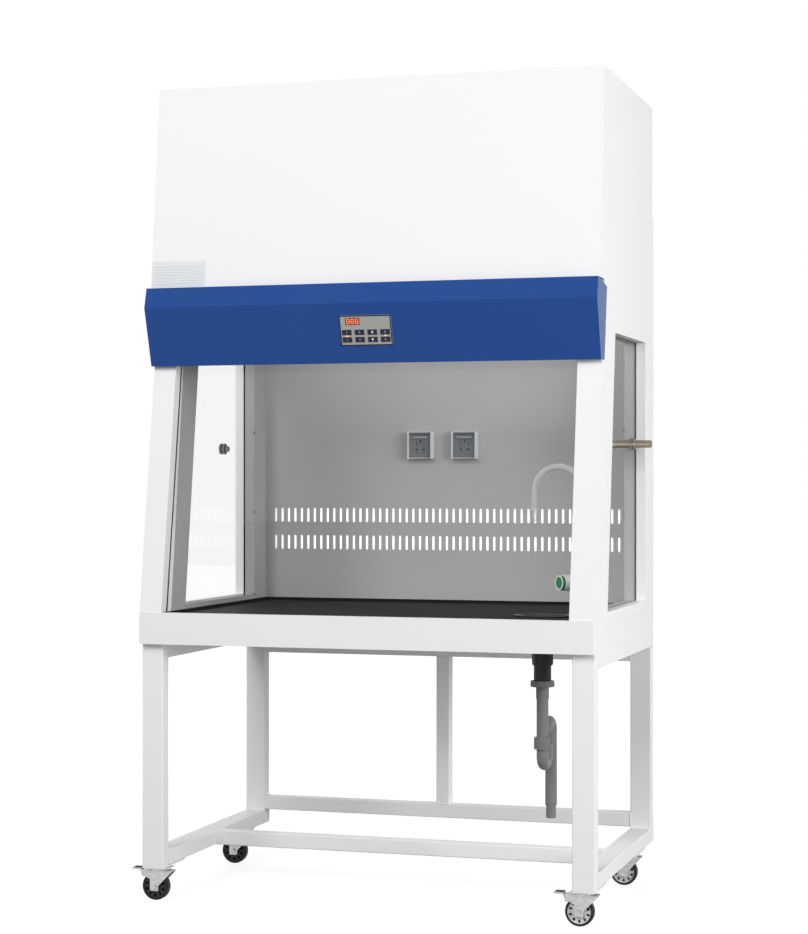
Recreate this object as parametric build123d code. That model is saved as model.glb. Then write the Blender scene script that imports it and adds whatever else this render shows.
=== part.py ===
from build123d import *
import os
from math import atan, cos, degrees, pi, radians, sin, sqrt

# Ducted fume hood on a wheeled frame. Millimetres, +X right, +Y back, +Z up.
# Distances called "behind" are measured back from the front face of the table apron.

# Overall sizes
WIDTH = 1240.0
DEPTH = 830.0
HEIGHT = 2200.0
HALF = WIDTH / 2
SHEET = 1.5
GAP = 0.3
RUNNING_FIT = 0.05

# Base frame of rectangular tube
LEG_WIDTH = 60.0
LEG_DEPTH = 40.0
TUBE_WALL = 2.0
TUBE_CORNER = 3.0
RAIL_HEIGHT = 40.0
FRAME_SETBACK = 21.0
FRAME_BOTTOM = 93.0
STRETCHER_BEHIND = DEPTH / 2 - 17.0
REAR_RAIL_LOW = 136.0
REAR_RAIL_HIGH = 611.0
CENTRE_POST_WIDTH = 40.0
FOOT_PLATE = 4.0
FOOT_PLATE_LENGTH = 150.0

# Casters
WHEEL_RADIUS = 37.5
WHEEL_WIDTH = 24.0
CORE_RADIUS = 30.5
HUB_LENGTH = 29.0
WHEEL_WINDOWS = 10
WINDOW_CIRCLE = 24.0
WINDOW_LENGTH = 9.0
WINDOW_ACROSS = 6.5
HUB_RADIUS = 11.0
TYRE_ROUNDING = 5.0
CASTER_FROM_CENTRE = HALF - 37.0
CASTER_TRAIL = 8.5
CASTER_FRONT_BEHIND = 52.0
CASTER_REAR_BEHIND = DEPTH - 201.0
CASTER_PLATE = 3.0
RACE_RADIUS = 26.0
RACE_HEIGHT = 4.4
FORK_SHEET = 2.5
FORK_CROWN_RADIUS = 40.0
KINGPIN_RADIUS = 5.0
AXLE_RADIUS = 4.0
PEDAL_REACH = 78.0
PEDAL_WIDTH = 22.0
PEDAL_PIN = (-41.0, 72.5)
PEDAL_PIN_RADIUS = 2.5

# Table and worktop
TABLE_BOTTOM = 693.0
TABLE_TOP = 778.0
APRON_WALL = 3.0
WORKTOP_THICKNESS = 16.0
WORKTOP_DISH = 8.0
WORKTOP_RIM = 9.0
WORKTOP_FRONT = 8.0
BEARER_WIDTH = 30.0
BEARER_INSET = 90.0
SINK_X = HALF - 193.0
SINK_BEHIND = 262.0
SINK_HALF_LENGTH = 80.0
SINK_HALF_WIDTH = 55.0
SINK_DEPTH = 64.0
SINK_WALL = 3.0
SPIGOT_RADIUS = 20.0
SPIGOT_END = 612.0

# Drain trap
BACK_NUT_RADIUS = 27.0
BACK_NUT_BOTTOM = 641.0
ADAPTER_RADIUS = 23.3
ADAPTER_BOTTOM = 600.0
TRAP_NUT_RADIUS = 31.0
TRAP_NUT_HEIGHT = 16.0
TRAP_PIPE_RADIUS = 16.0
TRAP_PIPE_WALL = 2.5
TRAP_SLEEVE_RADIUS = 17.5
TRAP_PITCH = 50.0
TRAP_LOW_CENTRE = 400.0
TRAP_HIGH_CENTRE = 458.0
TRAP_INLET_JOINT = 434.0
TRAP_RISER_JOINT = 441.0
TRAP_TAIL_END = 221.0
TRAP_STUB_RADIUS = 13.5
TRAP_STUB_TOP = 256.0

# Side walls, posts and windows
POST_WIDTH = 63.0
POST_FRONT_FOOT = 2.0
POST_SLOPE = 0.1538
SEAM_FOOT = 70.0
SEAM_SLOPE = 0.128
LINER_INNER_X = HALF - 60.0
PLENUM_DEPTH = 32.0
BAFFLE_BEHIND = DEPTH - PLENUM_DEPTH
HOUSING_HEIGHT = 550.0
HOUSING_BOTTOM = HEIGHT - HOUSING_HEIGHT
POST_HEAD_BEHIND = POST_FRONT_FOOT + POST_SLOPE * (HOUSING_BOTTOM - TABLE_TOP)
CEILING = HOUSING_BOTTOM - 12.0
WINDOW_FOOT = 181.0
WINDOW_FOOT_HEIGHT = TABLE_TOP + 43.0
WINDOW_SLOPE = 0.14
WINDOW_REAR = BAFFLE_BEHIND - 95.0
WINDOW_BOTTOM = TABLE_TOP + 13.0
WINDOW_TOP = HOUSING_BOTTOM - 130.0
GLASS_THICKNESS = 5.0
WINDOW_GLASS_X = HALF - 30.5
GASKET_WIDTH = 10.0
TAB_DROP = 20.0
TAB_START = 134.0
TAB_END = WINDOW_REAR + 38.0

# Slotted back baffle
SLOT_COUNT = 52
SLOT_END_MARGIN = 23.36
SLOT_PITCH = 2 * (LINER_INNER_X - SLOT_END_MARGIN) / SLOT_COUNT
SLOT_WIDTH = 7.0
SLOT_HEIGHT = 42.0
SLOT_ROWS = (TABLE_TOP + 166.8, TABLE_TOP + 248.5)
BAFFLE_SHEET = 2.0

# Upper housing
HOUSING_FRONT_FOOT = POST_HEAD_BEHIND - 58.1
HOUSING_FRONT_SLOPE = 0.1064
REAR_STEP = 16.5
REAR_STEP_HEIGHT = HEIGHT - 314.0
COLLAR_RADIUS = 125.0
COLLAR_HEIGHT = 38.0
FLANGE_MARGIN = 25.0

# Control fascia: top edge, fold and lower edge
FASCIA_OVERHANG = 2.0
FASCIA_TOP = (POST_HEAD_BEHIND - 83.1, HOUSING_BOTTOM)
FASCIA_FOLD = (POST_HEAD_BEHIND - 98.1, HOUSING_BOTTOM - 54.0)
FASCIA_FOOT = (POST_HEAD_BEHIND - 50.1, HOUSING_BOTTOM - 209.0)
CHEEK_FOOT_BEHIND = POST_HEAD_BEHIND - 7.1
CHEEK_TOP = (POST_HEAD_BEHIND + 24.9, HOUSING_BOTTOM - 18.0)
FASCIA_LIP = 14.0
KEYPAD_WIDTH = 143.0
KEYPAD_HEIGHT = 82.0
KEYPAD_HEIGHT_ON_BAND = 88.0
KEYPAD_PLATE = 2.0
KEYPAD_MARGIN = 4.0
KEY_WIDTH = 24.0
KEY_HEIGHT = 12.0
KEY_PITCH = 35.2
KEY_ROWS = (-4.9, -24.7)
KEY_PROUD = 1.0
KEY_TRAVEL = 0.8
KEY_FLANGE = 1.5
BOARD_DEPTH = 9.0
BOARD_SHEET = 1.6
DISPLAY_WIDTH = 40.0
DISPLAY_HEIGHT = 19.0
DISPLAY_X = -35.0
DISPLAY_UP = 24.5

# Sash and its belt drive, in a plane that leans back with the posts
SASH_SETBACK = 38.0
SASH_GLASS = 5.0
SASH_HALF_WIDTH = HALF - POST_WIDTH + 8.0
SASH_LENGTH = HOUSING_BOTTOM - TABLE_TOP - 127.0
SASH_REST_START = 244.8
SASH_DOWN = 238.0
GUIDE_WIDTH = 10.4
GUIDE_DEPTH = 11.0
GUIDE_START = 6.0
BELT_THICKNESS = 2.5
BELT_WIDTH = 12.0
BELT_X = LINER_INNER_X - 14.0
PULLEY_PITCH_RADIUS = 20.0
PULLEY_FLANGE_RADIUS = 21.5
PULLEY_FLANGE = 1.5
BELT_OFFSET = 14.0
IDLER_BELOW_RAIL = 46.8
IDLER_ALONG = SASH_REST_START + SASH_LENGTH - SASH_DOWN - IDLER_BELOW_RAIL
DRIVE_BELOW_TOP = 40.0
DRIVE_SHAFT_RADIUS = 6.0
GEARBOX_X = 180.0
GEARBOX_WIDTH = 60.0
GEARBOX_HALF_HEIGHT = 22.0
GEARBOX_REACH = 46.0
DRIVE_MOTOR_LENGTH = 120.0
DRIVE_MOTOR_RADIUS = 19.0
BEARING_PLATE = 3.0
TOP_RAIL_HEIGHT = 22.0

# Chamber fittings
SOCKET_FROM_CENTRE = 67.5
SOCKET_HEIGHT = WINDOW_TOP - 286.0
SOCKET_WIDTH = 77.0
SOCKET_SIDE = 80.0
SOCKET_DEPTH = 20.0
SOCKET_CHEEK = 5.5
COVER_SHEET = 2.0
TAP_SPOUT_X = SINK_X - 20.0
TAP_RISER_X = LINER_INNER_X - 24.0
TAP_BEHIND = SINK_BEHIND
TAP_TUBE_RADIUS = 8.0
TAP_TOP = TABLE_TOP + 390.0
TAP_TIP = TAP_TOP - 147.0
TAP_COLLAR_TOP = TAP_TOP - 106.0
TAP_COLLAR_BOTTOM = TAP_TOP - 118.0
TAP_BASE_TOP = TABLE_TOP + 30.0
VALVE_BEHIND = 126.0
VALVE_HEIGHT = TABLE_TOP + 91.0
VALVE_RADIUS = 20.5
VALVE_LENGTH = 56.0
KNOB_RADIUS = 18.5
KNOB_THICKNESS = 9.0
GAS_BEHIND = WINDOW_REAR - 35.0
GAS_HEIGHT = WINDOW_TOP - 287.0
GAS_RADIUS = 11.0
GAS_BORE = 8.0
GAS_OUTER_X = HALF + 24.0
GAS_INNER_X = LINER_INNER_X - 14.0
GAS_VALVE_LENGTH = 32.0
GAS_VALVE_RADIUS = 13.5
PORT_BEHIND = WINDOW_REAR - 170.0
PORT_HEIGHT = WINDOW_TOP - 298.0
PORT_RADIUS = 16.0
LAMP_LENGTH = 600.0
LAMP_BEHIND = BAFFLE_BEHIND - 378.0
LAMP_BATTEN_WIDTH = 48.0
LAMP_BATTEN_HEIGHT = 26.0
LAMP_HOLDER_WIDTH = 20.0
LAMP_HOLDER_THICKNESS = 12.0
LAMP_TUBE_RADIUS = 8.0
LAMP_TUBE_DROP = 40.0
LAMP_HOLDER_DROP = 52.0

# Blower in the upper housing
FAN_FORWARD = 5.0
FAN_HEIGHT = HEIGHT - 320.0
SCROLL_HALF_WIDTH = 60.0
SCROLL_RADII = (145.0, 138.0, 130.0, 122.0)
WHEEL_BLADES = 20
FAN_WHEEL_RADIUS = 108.0
FAN_EYE_RADIUS = 88.0
FAN_SHAFT_RADIUS = 6.0
MOTOR_RADIUS = 52.0
MOTOR_LENGTH = 90.0
GLAND_X = 170.0 - HALF
GLAND_HEIGHT = HEIGHT - 150.0
GLAND_RADIUS = 11.0
GLAND_BORE = 6.5

# The drive shaft lies under the top panel, and the blower midway between the shaft and the rear panel
LEAN = atan(POST_SLOPE)
DRIVE_ALONG = (HEIGHT - TABLE_TOP - DRIVE_BELOW_TOP) / cos(LEAN)
GUIDE_END = DRIVE_ALONG + 4.0
SHAFT_OFFSET = BELT_OFFSET + PULLEY_PITCH_RADIUS
DRIVE_BEHIND = POST_FRONT_FOOT + SASH_SETBACK + DRIVE_ALONG * sin(LEAN) + SHAFT_OFFSET * cos(LEAN)
FAN_BEHIND = (DRIVE_BEHIND + DEPTH - REAR_STEP) / 2 - FAN_FORWARD
COLLAR_BEHIND = FAN_BEHIND - SCROLL_RADII[0] / 2


def back(distance):
    """Frame Y of a point that lies a distance behind the apron's front face."""
    return distance - DEPTH / 2


def block(x0, x1, y0, y1, z0, z1):
    """Rectangular block between two corners."""
    centre = Pos((x0 + x1) / 2, (y0 + y1) / 2, (z0 + z1) / 2)
    return centre * Box(abs(x1 - x0), abs(y1 - y0), abs(z1 - z0))


def side_profile(points, x0, x1):
    """Profile drawn in side view as (behind, height), carried across from x0 to x1."""
    outline = Polyline(*[(back(behind), height) for behind, height in points], close=True)
    return extrude(make_face(Plane.YZ.offset(x0) * outline), x1 - x0, dir=(1, 0, 0))


def bar(start, end, radius, bore=0.0):
    """Round bar or tube between two points."""
    run = Vector(*end) - Vector(*start)
    plane = Plane(origin=start, z_dir=run)
    section = Circle(radius)
    if bore:
        section -= Circle(bore)
    return extrude(plane * section, run.length)


def both_sides(part):
    """The part on the right and its mirror image on the left."""
    return [part, mirror(part, about=Plane.YZ)]


def save(name, *shapes):
    """Write one node as a STEP file of separate solids."""
    solids = [solid for shape in shapes for solid in shape.solids()]
    export_step(solids[0] if len(solids) == 1 else Compound(children=solids), f"parts/{name}.step")


def post_front(height):
    return POST_FRONT_FOOT + POST_SLOPE * (height - TABLE_TOP)


def seam(height):
    return SEAM_FOOT + SEAM_SLOPE * (height - TABLE_TOP)


def housing_front(height):
    return HOUSING_FRONT_FOOT + HOUSING_FRONT_SLOPE * (height - HOUSING_BOTTOM)


def window_outline(grow):
    """Corners of the side window, grown outwards all round."""
    low = WINDOW_BOTTOM - grow
    high = WINDOW_TOP + grow
    shift = grow / cos(atan(WINDOW_SLOPE))
    front = [WINDOW_FOOT + WINDOW_SLOPE * (z - WINDOW_FOOT_HEIGHT) - shift for z in (low, high)]
    return [(front[0], low), (WINDOW_REAR + grow, low), (WINDOW_REAR + grow, high), (front[1], high)]


def sash_point(along, off):
    """Side-view point in the sash plane: distance up the plane, distance behind the glass."""
    behind = POST_FRONT_FOOT + SASH_SETBACK + along * sin(LEAN) + off * cos(LEAN)
    return behind, TABLE_TOP + along * cos(LEAN) - off * sin(LEAN)


def sash_strip(along0, along1, off0, off1, x0, x1):
    """Block that leans back with the sash plane."""
    corners = [(along0, off0), (along1, off0), (along1, off1), (along0, off1)]
    return side_profile([sash_point(a, o) for a, o in corners], x0, x1)


def tube(x0, x1, y0, y1, z0, z1, axis, closed_end=False):
    """Rectangular tube with rounded corners along X, Y or Z, open at both ends or closed at the far one."""
    middle = [(x0 + x1) / 2, (y0 + y1) / 2, (z0 + z1) / 2]
    size = [x1 - x0, y1 - y0, z1 - z0]
    length = size[axis]
    start = list(middle)
    start[axis] -= length / 2
    across, up = [(1, 2), (0, 2), (0, 1)][axis]
    along = [1.0 if i == axis else 0.0 for i in range(3)]
    side = [1.0 if i == across else 0.0 for i in range(3)]
    plane = Plane(origin=start, x_dir=side, z_dir=along)
    outer = RectangleRounded(size[across], size[up], TUBE_CORNER)
    inner = RectangleRounded(size[across] - 2 * TUBE_WALL, size[up] - 2 * TUBE_WALL, TUBE_CORNER - TUBE_WALL)
    bore = extrude(plane * inner, length - TUBE_WALL if closed_end else length)
    return extrude(plane * outer, length) - bore


# Base frame: welded rectangular tube, with foot plates under the lower side rails
def base_frame():
    inner = HALF - LEG_WIDTH
    leg_front = back(FRAME_SETBACK)
    leg_back = leg_front + LEG_DEPTH
    rear_face = back(DEPTH)
    rear_leg_front = rear_face - LEG_DEPTH
    rail_top = FRAME_BOTTOM + RAIL_HEIGHT
    upper_rail = TABLE_BOTTOM - RAIL_HEIGHT
    right = [
        tube(inner, HALF, leg_front, leg_back, FRAME_BOTTOM, TABLE_BOTTOM, 2),
        tube(inner, HALF, rear_leg_front, rear_face, rail_top, upper_rail, 2),
        tube(inner, HALF, leg_back, rear_face, FRAME_BOTTOM, rail_top, 1, True),
        tube(inner, HALF, leg_back, rear_face, upper_rail, TABLE_BOTTOM, 1, True),
    ]
    plate_low = FRAME_BOTTOM - FOOT_PLATE
    rear_plate = CASTER_REAR_BEHIND - FOOT_PLATE_LENGTH / 2
    for front in (FRAME_SETBACK, rear_plate):
        rear = front + FOOT_PLATE_LENGTH
        right.append(block(inner, HALF, back(front), back(rear), plate_low, FRAME_BOTTOM))
    pieces = [piece for part in right for piece in both_sides(part)]
    for low in (REAR_RAIL_LOW, REAR_RAIL_HIGH):
        pieces.append(tube(-inner, inner, rear_leg_front, rear_face, low, low + RAIL_HEIGHT, 0))
    post = CENTRE_POST_WIDTH / 2
    pieces.append(tube(-post, post, rear_leg_front, rear_face, REAR_RAIL_LOW + RAIL_HEIGHT, REAR_RAIL_HIGH, 2))
    stretcher = back(STRETCHER_BEHIND)
    pieces.append(tube(-inner, inner, stretcher, stretcher + LEG_DEPTH, FRAME_BOTTOM, rail_top, 0))
    save("base_frame", *pieces)


# Casters: plate and upper race on the frame, a pressed fork on its kingpin, and the wheel
PLATE_BOTTOM = FRAME_BOTTOM - FOOT_PLATE - CASTER_PLATE
RACE_BOTTOM = PLATE_BOTTOM - RACE_HEIGHT
CROWN_TOP = RACE_BOTTOM - GAP
CROWN_BOTTOM = CROWN_TOP - FORK_SHEET
FORK_INNER = HUB_LENGTH / 2 + 0.5
CASTERS = {
    "front_left": (-CASTER_FROM_CENTRE, CASTER_FRONT_BEHIND),
    "front_right": (CASTER_FROM_CENTRE, CASTER_FRONT_BEHIND),
    "rear_left": (-CASTER_FROM_CENTRE, CASTER_REAR_BEHIND),
    "rear_right": (CASTER_FROM_CENTRE, CASTER_REAR_BEHIND),
}


def caster_head():
    plate = block(-31, 31, -29, 29, PLATE_BOTTOM, PLATE_BOTTOM + CASTER_PLATE)
    plate = fillet(plate.edges().filter_by(Axis.Z), 5)
    race = bar((0, 0, RACE_BOTTOM), (0, 0, PLATE_BOTTOM), RACE_RADIUS)
    kingpin = bar((0, 0, CROWN_BOTTOM - GAP - 1.4), (0, 0, RACE_BOTTOM), KINGPIN_RADIUS)
    head = bar((0, 0, CROWN_BOTTOM - GAP - 1.4), (0, 0, CROWN_BOTTOM - GAP), KINGPIN_RADIUS + 3)
    return plate + race + kingpin + head


def fork_leg_outline():
    """Side plate: wide under the crown, sloping in to a narrow foot round the axle."""
    foot = 12.0
    left = -CASTER_TRAIL - foot
    right = -CASTER_TRAIL + foot
    top = CROWN_TOP
    low = WHEEL_RADIUS - 11.5
    return [
        (-FORK_CROWN_RADIUS - 6, top), (-FORK_CROWN_RADIUS - 6, top - 12), (left, top - 24), (left, low + 3),
        (left + 3, low), (right - 3, low), (right, low + 3), (right, low + 14), (FORK_CROWN_RADIUS, top - 4),
        (FORK_CROWN_RADIUS, top),
    ]


def caster_fork():
    outline = make_face(Plane.XZ * Polyline(*fork_leg_outline(), close=True))
    outer = FORK_INNER + FORK_SHEET
    legs = []
    for sign in (-1, 1):
        leg = extrude(outline, FORK_SHEET / 2, both=True)
        legs.append(Pos(0, sign * (FORK_INNER + FORK_SHEET / 2), 0) * leg)
    crown = block(-FORK_CROWN_RADIUS - 6, FORK_CROWN_RADIUS, -FORK_INNER, FORK_INNER, CROWN_BOTTOM, CROWN_TOP)
    fork = crown + legs[0] + legs[1]
    fork -= bar((0, 0, CROWN_BOTTOM - 1), (0, 0, CROWN_TOP + 1), KINGPIN_RADIUS + RUNNING_FIT)
    pin_hole = PEDAL_PIN_RADIUS + RUNNING_FIT
    fork -= bar((PEDAL_PIN[0], -outer - 1, PEDAL_PIN[1]), (PEDAL_PIN[0], outer + 1, PEDAL_PIN[1]), pin_hole)
    axle_at = (-CASTER_TRAIL, WHEEL_RADIUS)
    fork -= bar((axle_at[0], -outer - 1, axle_at[1]), (axle_at[0], outer + 1, axle_at[1]), AXLE_RADIUS)
    axle = bar((axle_at[0], -outer, axle_at[1]), (axle_at[0], outer, axle_at[1]), AXLE_RADIUS)
    for side, length in ((-1, 4.5), (1, 5.5)):
        hexagon = Plane(origin=(axle_at[0], side * outer, axle_at[1]), z_dir=(0, side, 0)) * RegularPolygon(7.0, 6)
        axle += extrude(hexagon, length)
    return fork, axle


def caster_wheel():
    """Wheel core with a row of windows, and the tyre on it, about the axle along Y."""
    at = Plane(origin=(-CASTER_TRAIL, 0, WHEEL_RADIUS), z_dir=(0, 1, 0))
    half = WHEEL_WIDTH / 2 - 1
    core = extrude(at * Circle(CORE_RADIUS), half, both=True)
    dish = Circle(CORE_RADIUS - 1.5) - Circle(HUB_RADIUS)
    for side in (-1, 1):
        face = Plane(origin=(-CASTER_TRAIL, side * (half - 1.5), WHEEL_RADIUS), z_dir=(0, side, 0))
        core -= extrude(face * dish, 3)
    core += extrude(at * Circle(HUB_RADIUS), HUB_LENGTH / 2, both=True)
    window = RectangleRounded(WINDOW_LENGTH, WINDOW_ACROSS, WINDOW_ACROSS / 2 - 0.5)
    for place in PolarLocations(WINDOW_CIRCLE, WHEEL_WINDOWS):
        core -= extrude(at * (place * window), half + 1, both=True)
    core -= extrude(at * Circle(AXLE_RADIUS + RUNNING_FIT), HUB_LENGTH, both=True)
    tread_height = WHEEL_RADIUS - CORE_RADIUS
    section = Rectangle(WHEEL_WIDTH, tread_height)
    section = fillet(section.vertices().group_by(Axis.Y)[-1], TYRE_ROUNDING)
    tyre = revolve(Plane.YZ * Pos(0, CORE_RADIUS + tread_height / 2) * section, Axis.Y)
    return core, Pos(-CASTER_TRAIL, 0, WHEEL_RADIUS) * tyre


def brake_pedal():
    """Stepped lever on a cross pin in the fork's side plates, with a brake shoe at its inner end."""
    edge = -FORK_CROWN_RADIUS - 8
    top = CROWN_TOP + 4
    x, z = PEDAL_PIN
    outline = Polyline(*[
        (-PEDAL_REACH, top - 4), (-PEDAL_REACH + 5, top), (edge, top), (edge, top - 8), (x + 3, z + 2),
        (x + 3, z - 3), (x + 1, z - 11), (x - 4, z - 11), (x - 6, z - 3), (edge - 4, top - 5)], close=True)
    lever = extrude(make_face(Plane.XZ * outline), PEDAL_WIDTH / 2, both=True)
    reach = FORK_INNER + FORK_SHEET
    return lever + bar((x, -reach, z), (x, reach, z), PEDAL_PIN_RADIUS)


def casters():
    heads = []
    for name, (x, behind) in CASTERS.items():
        at = Pos(x, back(behind), 0)
        heads.append(at * caster_head())
        fork, axle = caster_fork()
        save(f"caster_fork_{name}", at * fork, at * axle)
        core, tyre = caster_wheel()
        save(f"caster_wheel_{name}", at * core, at * tyre)
    save("caster_heads", *heads)
    for side in ("left", "right"):
        x, behind = CASTERS[f"front_{side}"]
        save(f"brake_pedal_{side}", Pos(x, back(behind), 0) * brake_pedal())


# Table: folded apron with a top flange, and the under-frame that carries the worktop
WORKTOP_HALF = LINER_INNER_X - 2


def table():
    front = back(0)
    rear = back(DEPTH)
    apron = block(-HALF, HALF, front, rear, TABLE_BOTTOM, TABLE_TOP)
    apron -= block(-HALF + APRON_WALL, HALF - APRON_WALL, front + APRON_WALL, rear - APRON_WALL,
                   TABLE_BOTTOM - 1, TABLE_TOP - SHEET)
    apron -= block(-WORKTOP_HALF - GAP, WORKTOP_HALF + GAP, back(WORKTOP_FRONT) - GAP, back(BAFFLE_BEHIND - 1),
                   TABLE_TOP - 5, TABLE_TOP + 1)
    for side in (-1, 1):
        apron -= block(side * (HALF - SHEET), side * (HALF + 1), back(TAB_START) - GAP, back(TAB_END) + GAP,
                       TABLE_TOP - TAB_DROP - 0.8, TABLE_TOP + 1)
    save("table_apron", apron)

    pan = block(-HALF + APRON_WALL, HALF - APRON_WALL, front + APRON_WALL, rear - APRON_WALL,
                TABLE_BOTTOM, TABLE_BOTTOM + SHEET)
    sink = (SINK_X, back(SINK_BEHIND))
    pan -= bar((*sink, TABLE_BOTTOM - 1), (*sink, TABLE_TOP), SPIGOT_RADIUS + 1)
    bearer_top = TABLE_TOP - WORKTOP_THICKNESS
    bearer_x = HALF - BEARER_INSET
    bearer_half = BEARER_WIDTH / 2
    bearers = [block(x - bearer_half, x + bearer_half, back(WORKTOP_FRONT + 2), back(BAFFLE_BEHIND - 3),
                     TABLE_BOTTOM + SHEET, bearer_top) for x in (-bearer_x, 0, bearer_x)]
    save("table_underframe", pan, *bearers)

    # Worktop: black slab with a dished surface and an oval hole for the sink
    slab_rear = BAFFLE_BEHIND - 1.5
    slab = block(-WORKTOP_HALF, WORKTOP_HALF, back(WORKTOP_FRONT), back(slab_rear), bearer_top, TABLE_TOP)
    dish_half = WORKTOP_HALF - WORKTOP_RIM
    dish = block(-dish_half, dish_half, back(WORKTOP_FRONT + WORKTOP_RIM), back(slab_rear - WORKTOP_RIM),
                 TABLE_TOP - WORKTOP_DISH, TABLE_TOP + 1)
    slab -= fillet(dish.edges().filter_by(Axis.Z), 12)
    hole = Pos(*sink, bearer_top - 1) * Ellipse(SINK_HALF_LENGTH - 9, SINK_HALF_WIDTH - 9)
    slab -= extrude(hole, WORKTOP_THICKNESS + 2)
    save("worktop", slab)


# Sink cup with its spigot, the black fittings under the table, and the trap
def drain():
    x, y = SINK_X, back(SINK_BEHIND)
    surface = TABLE_TOP - WORKTOP_DISH
    floor = surface - SINK_DEPTH
    rim = extrude(Pos(x, y, surface) * Ellipse(SINK_HALF_LENGTH, SINK_HALF_WIDTH), 4)
    bowl_length = SINK_HALF_LENGTH - 10
    bowl_width = SINK_HALF_WIDTH - 10
    bowl = loft([Pos(x, y, surface) * Ellipse(bowl_length, bowl_width),
                 Pos(x, y, floor) * Ellipse(bowl_length - 12, bowl_width - 8)])
    inside = loft([Pos(x, y, surface + 4) * Ellipse(bowl_length - SINK_WALL + 1, bowl_width - SINK_WALL + 1),
                   Pos(x, y, floor + SINK_WALL) * Ellipse(bowl_length - 12 - SINK_WALL, bowl_width - 8 - SINK_WALL)])
    cup = rim + bowl + bar((x, y, SPIGOT_END), (x, y, floor), SPIGOT_RADIUS) - inside
    cup -= bar((x, y, SPIGOT_END - 1), (x, y, floor + 5), SPIGOT_RADIUS - SINK_WALL)
    save("sink_cup", cup)

    back_nut = bar((x, y, BACK_NUT_BOTTOM), (x, y, TABLE_BOTTOM), BACK_NUT_RADIUS, SPIGOT_RADIUS + RUNNING_FIT)
    adapter = bar((x, y, ADAPTER_BOTTOM), (x, y, BACK_NUT_BOTTOM), ADAPTER_RADIUS, SPIGOT_RADIUS + RUNNING_FIT)
    adapter += bar((x, y, ADAPTER_BOTTOM), (x, y, SPIGOT_END), ADAPTER_RADIUS - 1,
                   TRAP_SLEEVE_RADIUS - TRAP_PIPE_WALL)
    save("drain_adapter", back_nut, adapter)

    nut_low = ADAPTER_BOTTOM - TRAP_NUT_HEIGHT
    sleeve_low = ADAPTER_BOTTOM - 48
    inner = TRAP_PIPE_RADIUS - TRAP_PIPE_WALL
    inlet = bar((x, y, TRAP_INLET_JOINT), (x, y, sleeve_low), TRAP_PIPE_RADIUS, inner)
    inlet += bar((x, y, sleeve_low), (x, y, ADAPTER_BOTTOM), TRAP_SLEEVE_RADIUS, inner)
    y2, y3 = y + TRAP_PITCH, y + 2 * TRAP_PITCH
    radius = TRAP_PITCH / 2

    def bend(start, centre, end, over, low, high):
        side = 1 if over else -1
        path = Wire([Edge.make_line((x, start, low), (x, start, centre)),
                     Edge.make_three_point_arc((x, start, centre), (x, start + radius, centre + side * radius),
                                               (x, end, centre)),
                     Edge.make_line((x, end, centre), (x, end, high))])
        profile = Plane(origin=(x, start, low), z_dir=(0, 0, side)) * (Circle(TRAP_PIPE_RADIUS) - Circle(inner))
        return sweep(profile, path)

    low_bend = bend(y, TRAP_LOW_CENTRE, y2, False, TRAP_INLET_JOINT, TRAP_RISER_JOINT)
    high_bend = bend(y2, TRAP_HIGH_CENTRE, y3, True, TRAP_RISER_JOINT, TRAP_STUB_TOP)
    tail = bar((x, y3, TRAP_TAIL_END), (x, y3, TRAP_STUB_TOP), TRAP_STUB_RADIUS, TRAP_STUB_RADIUS - 2)
    fit = RUNNING_FIT
    nuts = [
        bar((x, y, nut_low), (x, y, ADAPTER_BOTTOM), TRAP_NUT_RADIUS, TRAP_SLEEVE_RADIUS + fit),
        bar((x, y, TRAP_INLET_JOINT - 16), (x, y, TRAP_INLET_JOINT + 16), 22, TRAP_PIPE_RADIUS + fit),
        bar((x, y2, TRAP_RISER_JOINT - 15), (x, y2, TRAP_RISER_JOINT + 15), 21, TRAP_PIPE_RADIUS + fit),
    ]
    save("drain_trap", inlet, low_bend, high_bend, tail, *nuts)


# Front posts: folded box columns with a slot on the inner face for the sash guide
def front_posts():
    inner = HALF - POST_WIDTH
    top = HOUSING_BOTTOM

    def column(inset, x0, x1, low, high):
        points = [(post_front(low) + inset, low), (post_front(high) + inset, high), (seam(high) - inset, high),
                  (seam(low) - inset, low)]
        return side_profile(points, x0, x1)

    post = column(0, inner, HALF, TABLE_TOP, top)
    post -= column(SHEET, inner + SHEET, HALF - SHEET, TABLE_TOP - 1, top + 1)
    post -= sash_strip(-5, GUIDE_END, -GUIDE_WIDTH / 2, GUIDE_WIDTH / 2, inner - 1, inner + SHEET)
    save("front_posts", *both_sides(post))


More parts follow.
